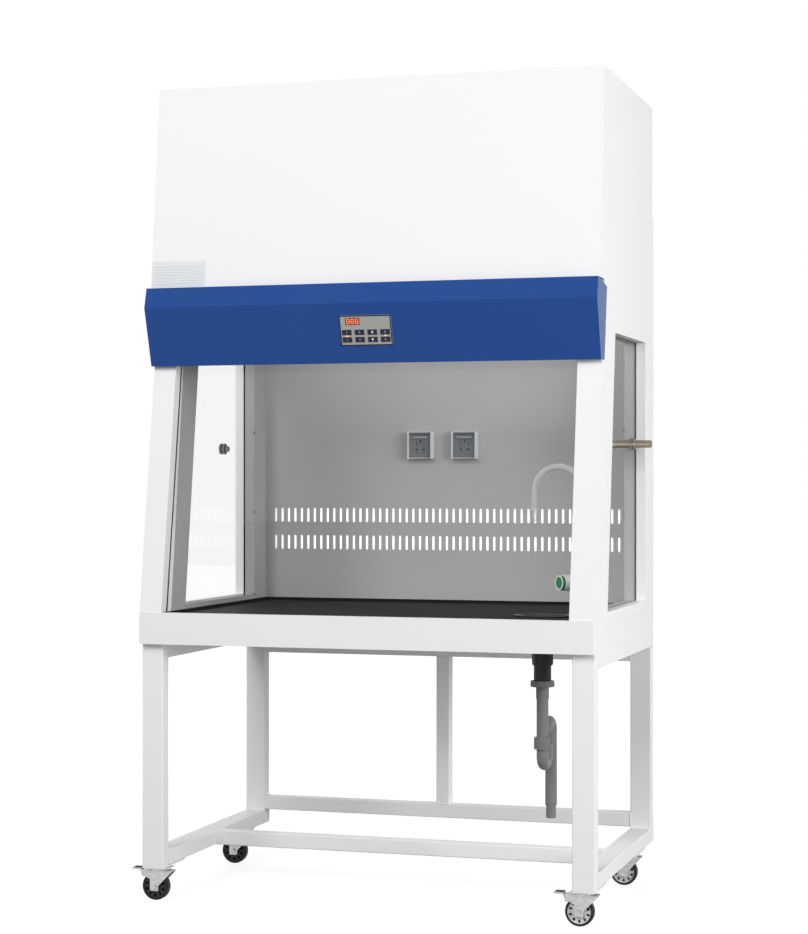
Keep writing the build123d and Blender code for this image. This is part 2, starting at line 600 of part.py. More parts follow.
# Side panels: outer skin from table to top, with the window's outer reveal
def side_walls():
    top = HEIGHT - SHEET
    step = REAR_STEP_HEIGHT
    skin = side_profile([
        (seam(TABLE_TOP), TABLE_TOP), (TAB_START, TABLE_TOP), (TAB_START, TABLE_TOP - TAB_DROP),
        (TAB_END, TABLE_TOP - TAB_DROP), (TAB_END, TABLE_TOP), (DEPTH, TABLE_TOP), (DEPTH, step),
        (DEPTH - REAR_STEP, step), (DEPTH - REAR_STEP, top), (seam(top), top)], HALF - SHEET, HALF)
    skin -= side_profile(window_outline(0), HALF - 2 * SHEET, HALF + 1)
    gasket_out = WINDOW_GLASS_X + GLASS_THICKNESS
    reveal = side_profile(window_outline(SHEET), gasket_out, HALF - SHEET)
    reveal -= side_profile(window_outline(0), gasket_out - 1, HALF)
    save("side_panels", *both_sides(skin + reveal))

    # Grey chamber liner: side sheets with the inner reveal, and the ceiling
    liner = side_profile([
        (seam(TABLE_TOP), TABLE_TOP), (BAFFLE_BEHIND, TABLE_TOP), (BAFFLE_BEHIND, CEILING), (seam(CEILING), CEILING)],
        LINER_INNER_X, LINER_INNER_X + SHEET)
    liner -= side_profile(window_outline(0), LINER_INNER_X - 1, LINER_INNER_X + 2 * SHEET)
    inner_reveal = side_profile(window_outline(SHEET), LINER_INNER_X + SHEET, WINDOW_GLASS_X)
    inner_reveal -= side_profile(window_outline(0), LINER_INNER_X, WINDOW_GLASS_X + 1)
    ceiling_front = sash_point(IDLER_ALONG + 150, BELT_OFFSET + 2 * PULLEY_PITCH_RADIUS + 12)[0]
    ceiling = block(-LINER_INNER_X - SHEET, LINER_INNER_X + SHEET, back(ceiling_front), back(BAFFLE_BEHIND),
                    CEILING, CEILING + SHEET)
    save("chamber_liner", *both_sides(liner + inner_reveal), ceiling)

    glass = side_profile(window_outline(0), WINDOW_GLASS_X, WINDOW_GLASS_X + GLASS_THICKNESS)
    left_glass = mirror(glass, about=Plane.YZ)
    gas = (back(GAS_BEHIND), GAS_HEIGHT)
    port = (back(PORT_BEHIND), PORT_HEIGHT)
    glass -= bar((HALF - 100, *gas), (HALF, *gas), GAS_RADIUS + RUNNING_FIT)
    left_glass -= bar((-HALF, *port), (100 - HALF, *port), PORT_RADIUS - 6 + RUNNING_FIT)
    save("side_window_glass", glass, left_glass)
    gasket = side_profile(window_outline(GASKET_WIDTH), WINDOW_GLASS_X, WINDOW_GLASS_X + GLASS_THICKNESS)
    gasket -= side_profile(window_outline(0), WINDOW_GLASS_X - 1, WINDOW_GLASS_X + GLASS_THICKNESS + 1)
    save("side_window_gaskets", *both_sides(gasket))


# Slotted baffle in front of the rear plenum, and the folded rear panel behind it
def back_walls():
    face = back(BAFFLE_BEHIND)
    half = LINER_INNER_X + SHEET
    baffle = block(-half, half, face, face + BAFFLE_SHEET, TABLE_TOP, CEILING + SHEET)
    plane = Plane(origin=(0, face - 1, 0), x_dir=(1, 0, 0), z_dir=(0, -1, 0))
    slots = Sketch()
    for row in SLOT_ROWS:
        for place in GridLocations(SLOT_PITCH, 1, SLOT_COUNT, 1):
            slots += Pos(0, row) * place * RectangleRounded(SLOT_WIDTH, SLOT_HEIGHT, SLOT_WIDTH / 2 - 0.1)
    baffle -= extrude(plane * slots, -BAFFLE_SHEET - 2)
    save("back_baffle", baffle)

    inner_x = HALF - SHEET
    upper = DEPTH - REAR_STEP
    top = HEIGHT - SHEET
    step = REAR_STEP_HEIGHT
    panel = side_profile([
        (DEPTH - SHEET, TABLE_TOP), (DEPTH, TABLE_TOP), (DEPTH, step), (upper, step), (upper, top),
        (upper - SHEET, top), (upper - SHEET, step - SHEET), (DEPTH - SHEET, step - SHEET)], -inner_x, inner_x)
    panel -= bar((GLAND_X, back(upper) - 5, GLAND_HEIGHT), (GLAND_X, back(upper) + 5, GLAND_HEIGHT), 8)
    save("rear_panel", panel)

    outside = back(upper)
    gland = bar((GLAND_X, outside, GLAND_HEIGHT), (GLAND_X, outside + 5, GLAND_HEIGHT), GLAND_RADIUS + 2)
    gland += bar((GLAND_X, outside, GLAND_HEIGHT), (GLAND_X, outside + 15, GLAND_HEIGHT), GLAND_RADIUS)
    gland += bar((GLAND_X, outside - 12, GLAND_HEIGHT), (GLAND_X, outside, GLAND_HEIGHT), 8 - RUNNING_FIT)
    gland -= bar((GLAND_X, outside - 20, GLAND_HEIGHT), (GLAND_X, outside + 20, GLAND_HEIGHT), GLAND_BORE)
    save("cable_gland", gland)


# Upper housing: front cover that wraps the sides, top panel and exhaust collar
def housing():
    top = HEIGHT - SHEET
    low = HOUSING_BOTTOM
    cover = side_profile([
        (housing_front(low), low), (housing_front(top), top), (seam(top), top), (seam(low), low)], -HALF, HALF)
    cover -= side_profile([
        (housing_front(low) + SHEET, low - 1), (housing_front(top) + SHEET, top + 1), (seam(top) + 5, top + 1),
        (seam(low) + 5, low - 1)], SHEET - HALF, HALF - SHEET)
    save("housing_front_cover", cover)

    centre = (0, back(COLLAR_BEHIND))
    panel = block(-HALF, HALF, back(housing_front(top)), back(DEPTH - REAR_STEP), top, HEIGHT)
    panel -= bar((*centre, top - 1), (*centre, HEIGHT + 1), COLLAR_RADIUS - SHEET)
    save("housing_top_panel", panel)

    collar = bar((*centre, HEIGHT), (*centre, HEIGHT + COLLAR_HEIGHT), COLLAR_RADIUS, COLLAR_RADIUS - SHEET)
    collar += bar((*centre, HEIGHT), (*centre, HEIGHT + SHEET), COLLAR_RADIUS + 22, COLLAR_RADIUS - SHEET)
    save("exhaust_collar", collar)


# Control fascia: folded sheet with two cheeks, and the keypad let into its lower band
def band_plane():
    """Plane on the outside of the fascia's lower band at the keypad's centre."""
    rise = FASCIA_FOLD[1] - FASCIA_FOOT[1]
    run = FASCIA_FOLD[0] - FASCIA_FOOT[0]
    length = sqrt(rise * rise + run * run)
    share = KEYPAD_HEIGHT_ON_BAND / length
    behind = FASCIA_FOOT[0] + run * share
    height = FASCIA_FOOT[1] + rise * share
    return Plane(origin=(0, back(behind), height), x_dir=(1, 0, 0), z_dir=(0, -rise / length, run / length))


def rounded_block(plane, width, height, low, high, radius):
    return extrude(plane.offset(low) * RectangleRounded(width, height, radius), high - low)


def fascia():
    half = HALF + FASCIA_OVERHANG
    outer = side_profile([FASCIA_TOP, FASCIA_FOLD, FASCIA_FOOT, (CHEEK_FOOT_BEHIND, FASCIA_FOOT[1]), CHEEK_TOP],
                         -half, half)
    wall = FASCIA_OVERHANG
    top_back = housing_front(HOUSING_BOTTOM) + SHEET
    lip_back = FASCIA_FOOT[0] + FASCIA_LIP
    inner = side_profile([
        (FASCIA_TOP[0] + wall, FASCIA_TOP[1] - wall - 1.6), (FASCIA_FOLD[0] + wall, FASCIA_FOLD[1]),
        (FASCIA_FOOT[0] + wall, FASCIA_FOOT[1] + wall), (lip_back, FASCIA_FOOT[1] + wall),
        (lip_back, FASCIA_FOOT[1] - 5), (300, FASCIA_FOOT[1] - 5), (300, FASCIA_TOP[1] + 5),
        (top_back + 30, FASCIA_TOP[1] + 5), (top_back + 30, FASCIA_TOP[1] - wall - 7)], -HALF, HALF)
    panel = outer - inner
    plane = band_plane()
    opening_width = KEYPAD_WIDTH - 2 * KEYPAD_MARGIN
    opening_height = KEYPAD_HEIGHT - 2 * KEYPAD_MARGIN
    panel -= rounded_block(plane, opening_width, opening_height, -10, 5, 3)
    save("control_fascia", panel)

    key_places = [(KEY_PITCH * (i - 1.5), row) for row in KEY_ROWS for i in range(4)]
    plate = rounded_block(plane, KEYPAD_WIDTH, KEYPAD_HEIGHT, 0, KEYPAD_PLATE, 5)
    plate += rounded_block(plane, opening_width - 2 * GAP, opening_height - 2 * GAP, -KEYPAD_PLATE, 0, 3)
    for u, v in key_places:
        at = plane * Pos(u, v)
        plate -= extrude(at * Rectangle(KEY_WIDTH + 2 * GAP, KEY_HEIGHT + 2 * GAP), 10, both=True)
    window = plane * Pos(DISPLAY_X, DISPLAY_UP)
    plate -= extrude(window * Rectangle(DISPLAY_WIDTH, DISPLAY_HEIGHT), 10, both=True)
    save("keypad_plate", plate)

    pane = Rectangle(DISPLAY_WIDTH, DISPLAY_HEIGHT)
    module = Rectangle(DISPLAY_WIDTH + 6, DISPLAY_HEIGHT + 4)
    lens = extrude(window * Pos(0, 0, -KEYPAD_PLATE) * pane, 2 * KEYPAD_PLATE - 0.6)
    lens += extrude(window * Pos(0, 0, -BOARD_DEPTH) * module, BOARD_DEPTH - KEYPAD_PLATE)
    save("display_window", lens)

    # Keys: cap in its opening, retaining flange behind the plate, stem over its switch
    stem_end = -BOARD_DEPTH + 3.0 + KEY_TRAVEL
    for number, (u, v) in enumerate(key_places, start=1):
        at = plane * Pos(u, v)
        cap_low = -KEYPAD_PLATE - GAP
        cap_top = KEYPAD_PLATE + KEY_PROUD
        key = extrude(at * Pos(0, 0, cap_low) * Rectangle(KEY_WIDTH, KEY_HEIGHT), cap_top - cap_low)
        flange = Rectangle(KEY_WIDTH + 2 * KEY_FLANGE, KEY_HEIGHT + 2 * KEY_FLANGE)
        key += extrude(at * Pos(0, 0, cap_low - 1) * flange, 1)
        key += extrude(at * Pos(0, 0, stem_end) * Circle(2.0), cap_low - 1 - stem_end)
        save(f"key_{number}", key)

    board = extrude(plane * Pos(0, 0, -BOARD_DEPTH - BOARD_SHEET) * Rectangle(opening_width - 6, opening_height - 4),
                    BOARD_SHEET)
    for u, v in key_places:
        board += extrude(plane * Pos(u, v, -BOARD_DEPTH) * Rectangle(6, 6), 3.0 - 0.1)
    for side in (-1, 1):
        for u, v in ((62.0, 31.0), (KEY_PITCH, -31.0)):
            standoff = plane * Pos(side * u, v, -BOARD_DEPTH)
            board += extrude(standoff * Circle(2.5), BOARD_DEPTH - KEYPAD_PLATE)
    save("control_board", board)


# Sash: glass in its guides, top rail that grips the two belts, and the belt drive
def sash():
    start = SASH_REST_START
    end = start + SASH_LENGTH
    glass_half = SASH_GLASS / 2
    save("sash_glass", sash_strip(start, end, -glass_half, glass_half, -SASH_HALF_WIDTH, SASH_HALF_WIDTH))

    rail_half = BELT_X + BELT_WIDTH / 2 + 1.5
    rail = sash_strip(end - TOP_RAIL_HEIGHT, end + 2, -6, 9, -rail_half, rail_half)
    rail -= sash_strip(start, end, -glass_half, glass_half, -HALF, HALF)
    clear = GAP + BELT_THICKNESS / 2
    for side in (-1, 1):
        x0, x1 = side * BELT_X - BELT_WIDTH / 2 - 1.5, side * BELT_X + BELT_WIDTH / 2 + 1.5
        jaw = sash_strip(end - TOP_RAIL_HEIGHT + 2, end - 2, 9, BELT_OFFSET + 4.5, x0, x1)
        rail += jaw
        rail -= sash_strip(end - TOP_RAIL_HEIGHT - 5, end + 5, BELT_OFFSET - clear, BELT_OFFSET + clear,
                           x0 + 1.5 - GAP, x1 - 1.5 + GAP)
    save("sash_top_rail", rail)

    inner = HALF - POST_WIDTH
    channel = sash_strip(GUIDE_START, GUIDE_END, -GUIDE_WIDTH / 2, GUIDE_WIDTH / 2, inner, inner + GUIDE_DEPTH)
    channel -= sash_strip(GUIDE_START - 5, GUIDE_END + 5, -glass_half - GAP, glass_half + GAP, inner - 1,
                          SASH_HALF_WIDTH + GAP)
    plate = sash_strip(IDLER_ALONG - 24, DRIVE_ALONG + 14, SHAFT_OFFSET - 12, SHAFT_OFFSET + 12,
                       LINER_INNER_X - BEARING_PLATE, LINER_INNER_X)
    for along in (IDLER_ALONG, DRIVE_ALONG):
        behind, height = sash_point(along, SHAFT_OFFSET)
        plate -= bar((LINER_INNER_X - 10, back(behind), height), (HALF, back(behind), height),
                     DRIVE_SHAFT_RADIUS + RUNNING_FIT)
    save("sash_guides", *both_sides(channel), *both_sides(plate))

    pulley_radius = PULLEY_PITCH_RADIUS - BELT_THICKNESS / 2
    face = BELT_WIDTH / 2 + 0.5
    for name, along in (("drive_shaft", DRIVE_ALONG), ("idler_shaft", IDLER_ALONG)):
        behind, height = sash_point(along, SHAFT_OFFSET)
        y = back(behind)
        tip = LINER_INNER_X - 0.5
        shaft = bar((-tip, y, height), (tip, y, height), DRIVE_SHAFT_RADIUS)
        for side in (-1, 1):
            x = side * BELT_X
            shaft += bar((x - face, y, height), (x + face, y, height), pulley_radius - GAP)
            for edge in (-1, 1):
                x_edge = x + edge * face
                shaft += bar((x_edge, y, height), (x_edge + edge * PULLEY_FLANGE, y, height), PULLEY_FLANGE_RADIUS)
        save(name, shaft)

    # Belt loops: two straight runs and a half turn round each pulley
    loop = Plane(origin=(0, 0, 0), x_dir=(0, 1, 0), z_dir=(1, 0, 0))
    length = DRIVE_ALONG - IDLER_ALONG
    low_behind, low_height = sash_point(IDLER_ALONG, SHAFT_OFFSET)
    middle_behind, middle_height = sash_point(IDLER_ALONG + length / 2, SHAFT_OFFSET)
    outer_radius = PULLEY_PITCH_RADIUS + BELT_THICKNESS / 2
    ring = SlotCenterToCenter(length, 2 * outer_radius) - SlotCenterToCenter(length, 2 * pulley_radius)
    ring = loop * Pos(back(middle_behind), middle_height) * Rot(0, 0, 90 - degrees(LEAN)) * ring
    belt = Pos(BELT_X - BELT_WIDTH / 2, 0, 0) * extrude(ring, BELT_WIDTH)
    save("sash_belts", *both_sides(belt))

    # Gear motor on the drive shaft, hung from the top panel
    behind, height = sash_point(DRIVE_ALONG, SHAFT_OFFSET)
    y = back(behind)
    x0, x1 = GEARBOX_X, GEARBOX_X + GEARBOX_WIDTH
    box_low, box_high = height - GEARBOX_HALF_HEIGHT, height + GEARBOX_HALF_HEIGHT
    gearbox = block(x0, x1, y - GEARBOX_HALF_HEIGHT, y + GEARBOX_REACH, box_low, box_high)
    gearbox -= bar((x0 - 1, y, height), (x1 + 1, y, height), DRIVE_SHAFT_RADIUS + RUNNING_FIT)
    motor_y = y + GEARBOX_REACH - DRIVE_MOTOR_RADIUS - 1
    motor = bar((x0, motor_y, height), (x0 - DRIVE_MOTOR_LENGTH, motor_y, height), DRIVE_MOTOR_RADIUS)
    bracket = block(x0 + 5, x1 - 5, y + 10, y + GEARBOX_REACH, box_high, HEIGHT - SHEET)
    save("sash_motor", gearbox + motor + bracket)


# Chamber fittings on the back wall, the worktop, the post and the side glass
def sockets():
    face = back(BAFFLE_BEHIND)
    plates = []
    for name, side in (("left", -1), ("right", 1)):
        x = side * SOCKET_FROM_CENTRE
        half = SOCKET_WIDTH / 2
        low, high = SOCKET_HEIGHT - SOCKET_SIDE / 2, SOCKET_HEIGHT + SOCKET_SIDE / 2
        front = face - SOCKET_DEPTH
        cheek = half - SOCKET_CHEEK
        box = block(x - half, x + half, front, face, low, high)
        box -= block(x - cheek, x + cheek, front - 1, front + 8, low - 1, high + 1)
        for dx, dz, width, tall in ((-11, 4, 4, 14), (11, 4, 4, 14), (-9, -15, 7, 4), (9, -15, 7, 4), (0, 14, 5, 5)):
            left, right = x + dx - width / 2, x + dx + width / 2
            foot, head = SOCKET_HEIGHT + dz - tall / 2, SOCKET_HEIGHT + dz + tall / 2
            box -= block(left, right, front + 7, front + 13, foot, head)
        pivot = (front + 4, high - 5)
        pin = bar((x - cheek, *pivot), (x + cheek, *pivot), 1.5)
        plates.append(box + pin)
        cover_half = cheek - GAP
        barrel = bar((x - cover_half, *pivot), (x + cover_half, *pivot), 3.4)
        outside = pivot[0] - 3.4
        flap = block(x - cover_half, x + cover_half, outside, outside + COVER_SHEET, low + 4, pivot[1])
        cover = barrel + flap
        cover -= bar((x - cover_half - 1, *pivot), (x + cover_half + 1, *pivot), 1.5 + RUNNING_FIT)
        save(f"socket_cover_{name}", cover)
    save("socket_boxes", *plates)


def water():
    y = back(TAP_BEHIND)
    surface = TABLE_TOP - WORKTOP_DISH
    base = bar((TAP_RISER_X, y, surface), (TAP_RISER_X, y, surface + 6), 12.5)
    base += bar((TAP_RISER_X, y, surface), (TAP_RISER_X, y, TAP_BASE_TOP), 11)
    base -= bar((TAP_RISER_X, y, surface + 12), (TAP_RISER_X, y, TAP_BASE_TOP + 1), TAP_TUBE_RADIUS + RUNNING_FIT)

    # Valve body: white cylinder turned 45 degrees towards the user
    turn = sin(radians(45))
    start = (LINER_INNER_X + 30 * turn, back(VALVE_BEHIND + 30 * turn), VALVE_HEIGHT)
    end = (LINER_INNER_X - VALVE_LENGTH * turn, back(VALVE_BEHIND - VALVE_LENGTH * turn), VALVE_HEIGHT)
    valve = bar(start, end, VALVE_RADIUS)
    valve -= block(LINER_INNER_X, HALF + 60, back(0), back(DEPTH), TABLE_TOP, HEIGHT)
    stem_length = 5.0
    past = (end[0] - stem_length * turn, end[1] - stem_length * turn, VALVE_HEIGHT)
    valve += bar(end, past, 6)
    save("water_fittings", base, valve)

    gap_start = tuple(end[i] - (GAP * turn if i < 2 else 0) for i in range(3))
    gap_end = tuple(end[i] - ((GAP + KNOB_THICKNESS) * turn if i < 2 else 0) for i in range(3))
    knob = bar(gap_start, gap_end, KNOB_RADIUS)
    knob = chamfer(knob.faces().sort_by(Axis.Y)[0].edges(), 1.2)
    knob -= bar(end, past, 6 + RUNNING_FIT)
    save("water_knob", knob)

    # Swan-neck spout: riser, half-circle arch, down leg with a collar and a tapered nozzle
    radius = (TAP_RISER_X - TAP_SPOUT_X) / 2
    arch = TAP_TOP - radius
    low = surface + 12.5
    middle = (TAP_RISER_X - radius, y, TAP_TOP)
    path = Wire([Edge.make_line((TAP_RISER_X, y, low), (TAP_RISER_X, y, arch)),
                 Edge.make_three_point_arc((TAP_RISER_X, y, arch), middle, (TAP_SPOUT_X, y, arch)),
                 Edge.make_line((TAP_SPOUT_X, y, arch), (TAP_SPOUT_X, y, TAP_COLLAR_BOTTOM))])
    neck = sweep(Plane(origin=(TAP_RISER_X, y, low), z_dir=(0, 0, 1)) * Circle(TAP_TUBE_RADIUS), path)
    neck += bar((TAP_SPOUT_X, y, TAP_COLLAR_BOTTOM), (TAP_SPOUT_X, y, TAP_COLLAR_TOP), TAP_TUBE_RADIUS + 2.5)
    nozzle = make_face(Plane.XZ * Polyline(
        (0, TAP_TIP), (3.5, TAP_TIP), (6.5, TAP_COLLAR_BOTTOM), (0, TAP_COLLAR_BOTTOM), close=True))
    neck += Pos(TAP_SPOUT_X, y, 0) * revolve(nozzle, Axis.Z)
    neck += bar((TAP_RISER_X, y, TAP_BASE_TOP + GAP), (TAP_RISER_X, y, TAP_BASE_TOP + 8), TAP_TUBE_RADIUS + 2)
    save("faucet_gooseneck", neck)


def side_ports():
    gas = (back(GAS_BEHIND), GAS_HEIGHT)
    outer_face = WINDOW_GLASS_X + GLASS_THICKNESS
    tap = bar((GAS_INNER_X, *gas), (GAS_OUTER_X, *gas), GAS_RADIUS, GAS_BORE)
    tap += bar((outer_face, *gas), (outer_face + 5, *gas), GAS_RADIUS + 5, GAS_BORE)
    tap += bar((WINDOW_GLASS_X - 5, *gas), (WINDOW_GLASS_X, *gas), GAS_RADIUS + 5, GAS_BORE)
    valve_end = GAS_INNER_X - GAS_VALVE_LENGTH
    tap += bar((valve_end, *gas), (GAS_INNER_X, *gas), GAS_VALVE_RADIUS)
    tap += bar((valve_end - 26, *gas), (valve_end, *gas), 6, 3)
    lever_x = GAS_INNER_X - GAS_VALVE_LENGTH / 2
    boss_top = GAS_HEIGHT + GAS_VALVE_RADIUS + 5
    tap += bar((lever_x, *gas), (lever_x, gas[0], boss_top), 7)
    tap += bar((lever_x, *gas), (lever_x, gas[0], boss_top + 8), 3)
    port = (back(PORT_BEHIND), PORT_HEIGHT)
    plug = bar((-outer_face - 5, *port), (-outer_face, *port), PORT_RADIUS)
    plug += bar((-outer_face, *port), (-WINDOW_GLASS_X, *port), PORT_RADIUS - 6)
    plug += bar((-WINDOW_GLASS_X, *port), (5 - WINDOW_GLASS_X, *port), PORT_RADIUS)
    plug += bar((5 - WINDOW_GLASS_X, *port), (15 - WINDOW_GLASS_X, *port), PORT_RADIUS - 8)
    save("side_ports", tap, plug)

    # Lever: upright paddle on the tap's spindle
    low = boss_top + GAP
    lever = block(lever_x - 5, lever_x + 5, gas[0] - 11, gas[0] + 11, low, low + 38)
    lever = fillet(lever.edges().filter_by(Axis.X), 4)
    lever -= bar((lever_x, gas[0], low - 1), (lever_x, gas[0], boss_top + 9), 3 + RUNNING_FIT)
    save("gas_tap_lever", lever)


def lamp():
    y = back(LAMP_BEHIND)
    half = LAMP_LENGTH / 2
    batten_half = LAMP_BATTEN_WIDTH / 2
    holder_half = LAMP_HOLDER_WIDTH / 2
    under = CEILING - LAMP_BATTEN_HEIGHT
    batten = block(-half, half, y - batten_half, y + batten_half, under, CEILING)
    tube_end = half - LAMP_HOLDER_THICKNESS
    for side in (-1, 1):
        batten += block(side * tube_end, side * half, y - holder_half, y + holder_half,
                        CEILING - LAMP_HOLDER_DROP, under)
    axis = CEILING - LAMP_TUBE_DROP
    glow = bar((-tube_end, y, axis), (tube_end, y, axis), LAMP_TUBE_RADIUS)
    save("ceiling_lamp", batten, glow)


# Blower: scroll housing, motor on its side plate, and the bladed wheel
def blower():
    y, z = back(FAN_BEHIND), FAN_HEIGHT
    top = HEIGHT - SHEET

    def scroll_face(inset, x, ceiling):
        front, low, rear, high = [radius - inset for radius in SCROLL_RADII]

        def mid(a, b, angle):
            radius = (a + b) / 2
            return x, y + radius * cos(radians(angle)), z + radius * sin(radians(angle))

        corner = [(x, y - front, z), (x, y, z - low), (x, y + rear, z), (x, y, z + high)]
        edges = [
            Edge.make_three_point_arc(corner[0], mid(front, low, 225), corner[1]),
            Edge.make_three_point_arc(corner[1], mid(low, rear, 315), corner[2]),
            Edge.make_three_point_arc(corner[2], mid(rear, high, 45), corner[3]),
            Edge.make_line(corner[3], (x, y - inset, ceiling)),
            Edge.make_line((x, y - inset, ceiling), (x, y - front, ceiling)),
            Edge.make_line((x, y - front, ceiling), corner[0]),
        ]
        if inset:
            edges[3:4] = [Edge.make_line(corner[3], (x, y - inset, z + high)),
                          Edge.make_line((x, y - inset, z + high), (x, y - inset, ceiling))]
        return Face(Wire(edges))

    half = SCROLL_HALF_WIDTH
    hang = COLLAR_RADIUS + FLANGE_MARGIN
    flange = block(-hang, hang, back(COLLAR_BEHIND) - hang, back(COLLAR_BEHIND) + hang, top - SHEET, top)
    scroll = flange + extrude(scroll_face(0, -half, top), 2 * half, dir=(1, 0, 0))
    scroll -= extrude(scroll_face(2, -half + 2, top + 5), 2 * half - 4, dir=(1, 0, 0))
    scroll -= bar((0, y, z), (half + 5, y, z), FAN_EYE_RADIUS - 4)
    scroll -= bar((-half - 5, y, z), (0, y, z), FAN_SHAFT_RADIUS + 4)
    save("blower_scroll", scroll)

    motor = bar((-half - MOTOR_LENGTH, y, z), (-half, y, z), MOTOR_RADIUS)
    motor += bar((-half, y, z), (34, y, z), FAN_SHAFT_RADIUS)
    save("blower_motor", motor)

    back_disc, front_disc = -half + 12, half - 14
    wheel = bar((back_disc, y, z), (back_disc + 3, y, z), FAN_WHEEL_RADIUS)
    wheel += bar((back_disc, y, z), (30, y, z), 16)
    wheel += bar((front_disc - 3, y, z), (front_disc, y, z), FAN_WHEEL_RADIUS, FAN_EYE_RADIUS)
    wheel -= bar((-half, y, z), (half, y, z), FAN_SHAFT_RADIUS + RUNNING_FIT)
    spin = Plane(origin=(back_disc + 2, y, z), x_dir=(0, 1, 0), z_dir=(1, 0, 0))
    middle = (FAN_WHEEL_RADIUS + FAN_EYE_RADIUS) / 2
    depth = FAN_WHEEL_RADIUS - FAN_EYE_RADIUS
    for place in PolarLocations(middle, WHEEL_BLADES):
        blade = place * Rot(0, 0, 32) * Rectangle(depth + 1, 1.6)
        wheel += extrude(spin * blade, front_disc - back_disc - 4)
    save("blower_wheel", wheel)


os.makedirs("parts", exist_ok=True)
base_frame()
casters()
table()
drain()
front_posts()
side_walls()
back_walls()
housing()
fascia()
sash()
sockets()
water()
side_ports()
lamp()
blower()
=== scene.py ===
from math import atan, cos, pi, radians, sin

import bmesh
import bpy
from mathutils import Matrix, Vector


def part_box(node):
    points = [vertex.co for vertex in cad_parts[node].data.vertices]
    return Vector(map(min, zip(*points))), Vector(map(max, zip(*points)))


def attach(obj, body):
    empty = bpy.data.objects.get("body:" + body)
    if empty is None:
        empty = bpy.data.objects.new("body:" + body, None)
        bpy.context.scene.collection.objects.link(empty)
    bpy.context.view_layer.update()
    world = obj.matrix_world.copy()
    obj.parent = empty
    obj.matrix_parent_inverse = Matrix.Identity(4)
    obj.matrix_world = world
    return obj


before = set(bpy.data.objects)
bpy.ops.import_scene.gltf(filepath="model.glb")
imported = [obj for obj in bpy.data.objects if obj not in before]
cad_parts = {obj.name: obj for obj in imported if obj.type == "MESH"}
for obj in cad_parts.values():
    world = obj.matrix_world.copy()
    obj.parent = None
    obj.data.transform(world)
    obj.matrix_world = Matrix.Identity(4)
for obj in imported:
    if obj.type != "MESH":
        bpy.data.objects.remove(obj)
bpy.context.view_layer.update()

# The viewpoint: a long lens at chest height, to the right of the hood and turned a little to the left.
# The horizon lies just under the middle of the picture.
camera_data = bpy.data.cameras.new("catalogue_camera")
camera_data.sensor_width = 36.0
camera_data.lens = 82.434
camera_data.shift_y = 0.01126
camera_data.clip_end = 60.0
camera = bpy.data.objects.new("catalogue_camera", camera_data)
camera.location = (1.73886, -5.68778, 1.13888)
camera.rotation_euler = (radians(90.0), 0.0, 0.2974)
bpy.context.scene.collection.objects.link(camera)
bpy.context.scene.camera = camera
bpy.context.scene.view_settings.view_transform = "Standard"


# The stand: rectangular steel tube, powder coated off-white with a faint orange peel.
# The joints are gas-welded by hand, and the coat runs over the ripples of the weld beads.
MM = 0.001
DEPTH = 830.0
HALF = 620.0
LEG_INNER = 560.0
LEG_REAR = 61.0
REAR_LEG_FRONT = 790.0
STRETCHER_FRONT = 398.0
STRETCHER_REAR = 438.0
SIDE_RAIL_LOW = 93.0
SIDE_RAIL_TOP = 133.0
TABLE_BOTTOM = 693.0
REAR_RAILS = (136.0, 611.0)
RAIL_HEIGHT = 40.0
BEAD_RADIUS = 2.1
BEAD_PITCH = 2.7
BEAD_END = 3.0
BEAD_SQUASH = (1.0, 1.0, 0.8)
POST_BEAD = 18.0
MERGE = 1e-6
FLAT = 0.99
SMOOTH_ANGLE = radians(35)


def spot(x, behind, height):
    """A point in metres from millimetres: across, behind the front of the table, above the floor."""
    return Vector((x * MM, (behind - DEPTH / 2) * MM, height * MM))


def only(*objects):
    """Select these objects alone, and make the first one active."""
    bpy.ops.object.select_all(action="DESELECT")
    for obj in objects:
        obj.select_set(True)
    bpy.context.view_layer.objects.active = objects[0]


def pick(obj, test, kind="FACE"):
    """In edit mode, select only the faces or edges that pass a test."""
    bpy.ops.mesh.select_mode(type=kind)
    bpy.ops.mesh.select_all(action="DESELECT")
    mesh = bmesh.from_edit_mesh(obj.data)
    for part in mesh.faces if kind == "FACE" else mesh.edges:
        if test(part):
            part.select_set(True)
    mesh.select_flush_mode()
    bmesh.update_edit_mesh(obj.data)


def open_piece(obj, test, kind="FACE"):
    """Open one piece in edit mode with only some of its faces or edges selected."""
    only(obj)
    bpy.ops.object.mode_set(mode="EDIT")
    pick(obj, test, kind)


def close_piece():
    """Leave edit mode with every normal pointing outwards."""
    bpy.ops.mesh.select_all(action="SELECT")
    bpy.ops.mesh.remove_doubles(threshold=MERGE)
    bpy.ops.mesh.normals_make_consistent(inside=False)
    bpy.ops.object.mode_set(mode="OBJECT")


def top_face(face):
    """A face that looks straight up."""
    return face.normal.z > FLAT


def end_face(face):
    """A face that looks straight up or down."""
    return abs(face.normal.z) > FLAT


def every_face(face):
    """Any face at all."""
    return True


def soften(obj, width, segments=2):
    """Round the sharp edges of a piece by a width in millimetres."""
    only(obj)
    edge = obj.modifiers.new("edge_round", "BEVEL")
    edge.width = width * MM
    edge.segments = segments
    edge.limit_method = "ANGLE"
    edge.angle_limit = SMOOTH_ANGLE
    bpy.ops.object.modifier_apply(modifier=edge.name)


def round_blank(radius, height, sides=32, low=0.0):
    """A round blank in millimetres that stands along Z on a height."""
    bpy.ops.object.select_all(action="DESELECT")
    bpy.ops.mesh.primitive_cylinder_add(vertices=sides, radius=radius * MM, depth=height * MM,
                                        location=(0, 0, (low + height / 2) * MM))
    bpy.ops.object.transform_apply(location=True, rotation=True, scale=True)
    return bpy.context.object


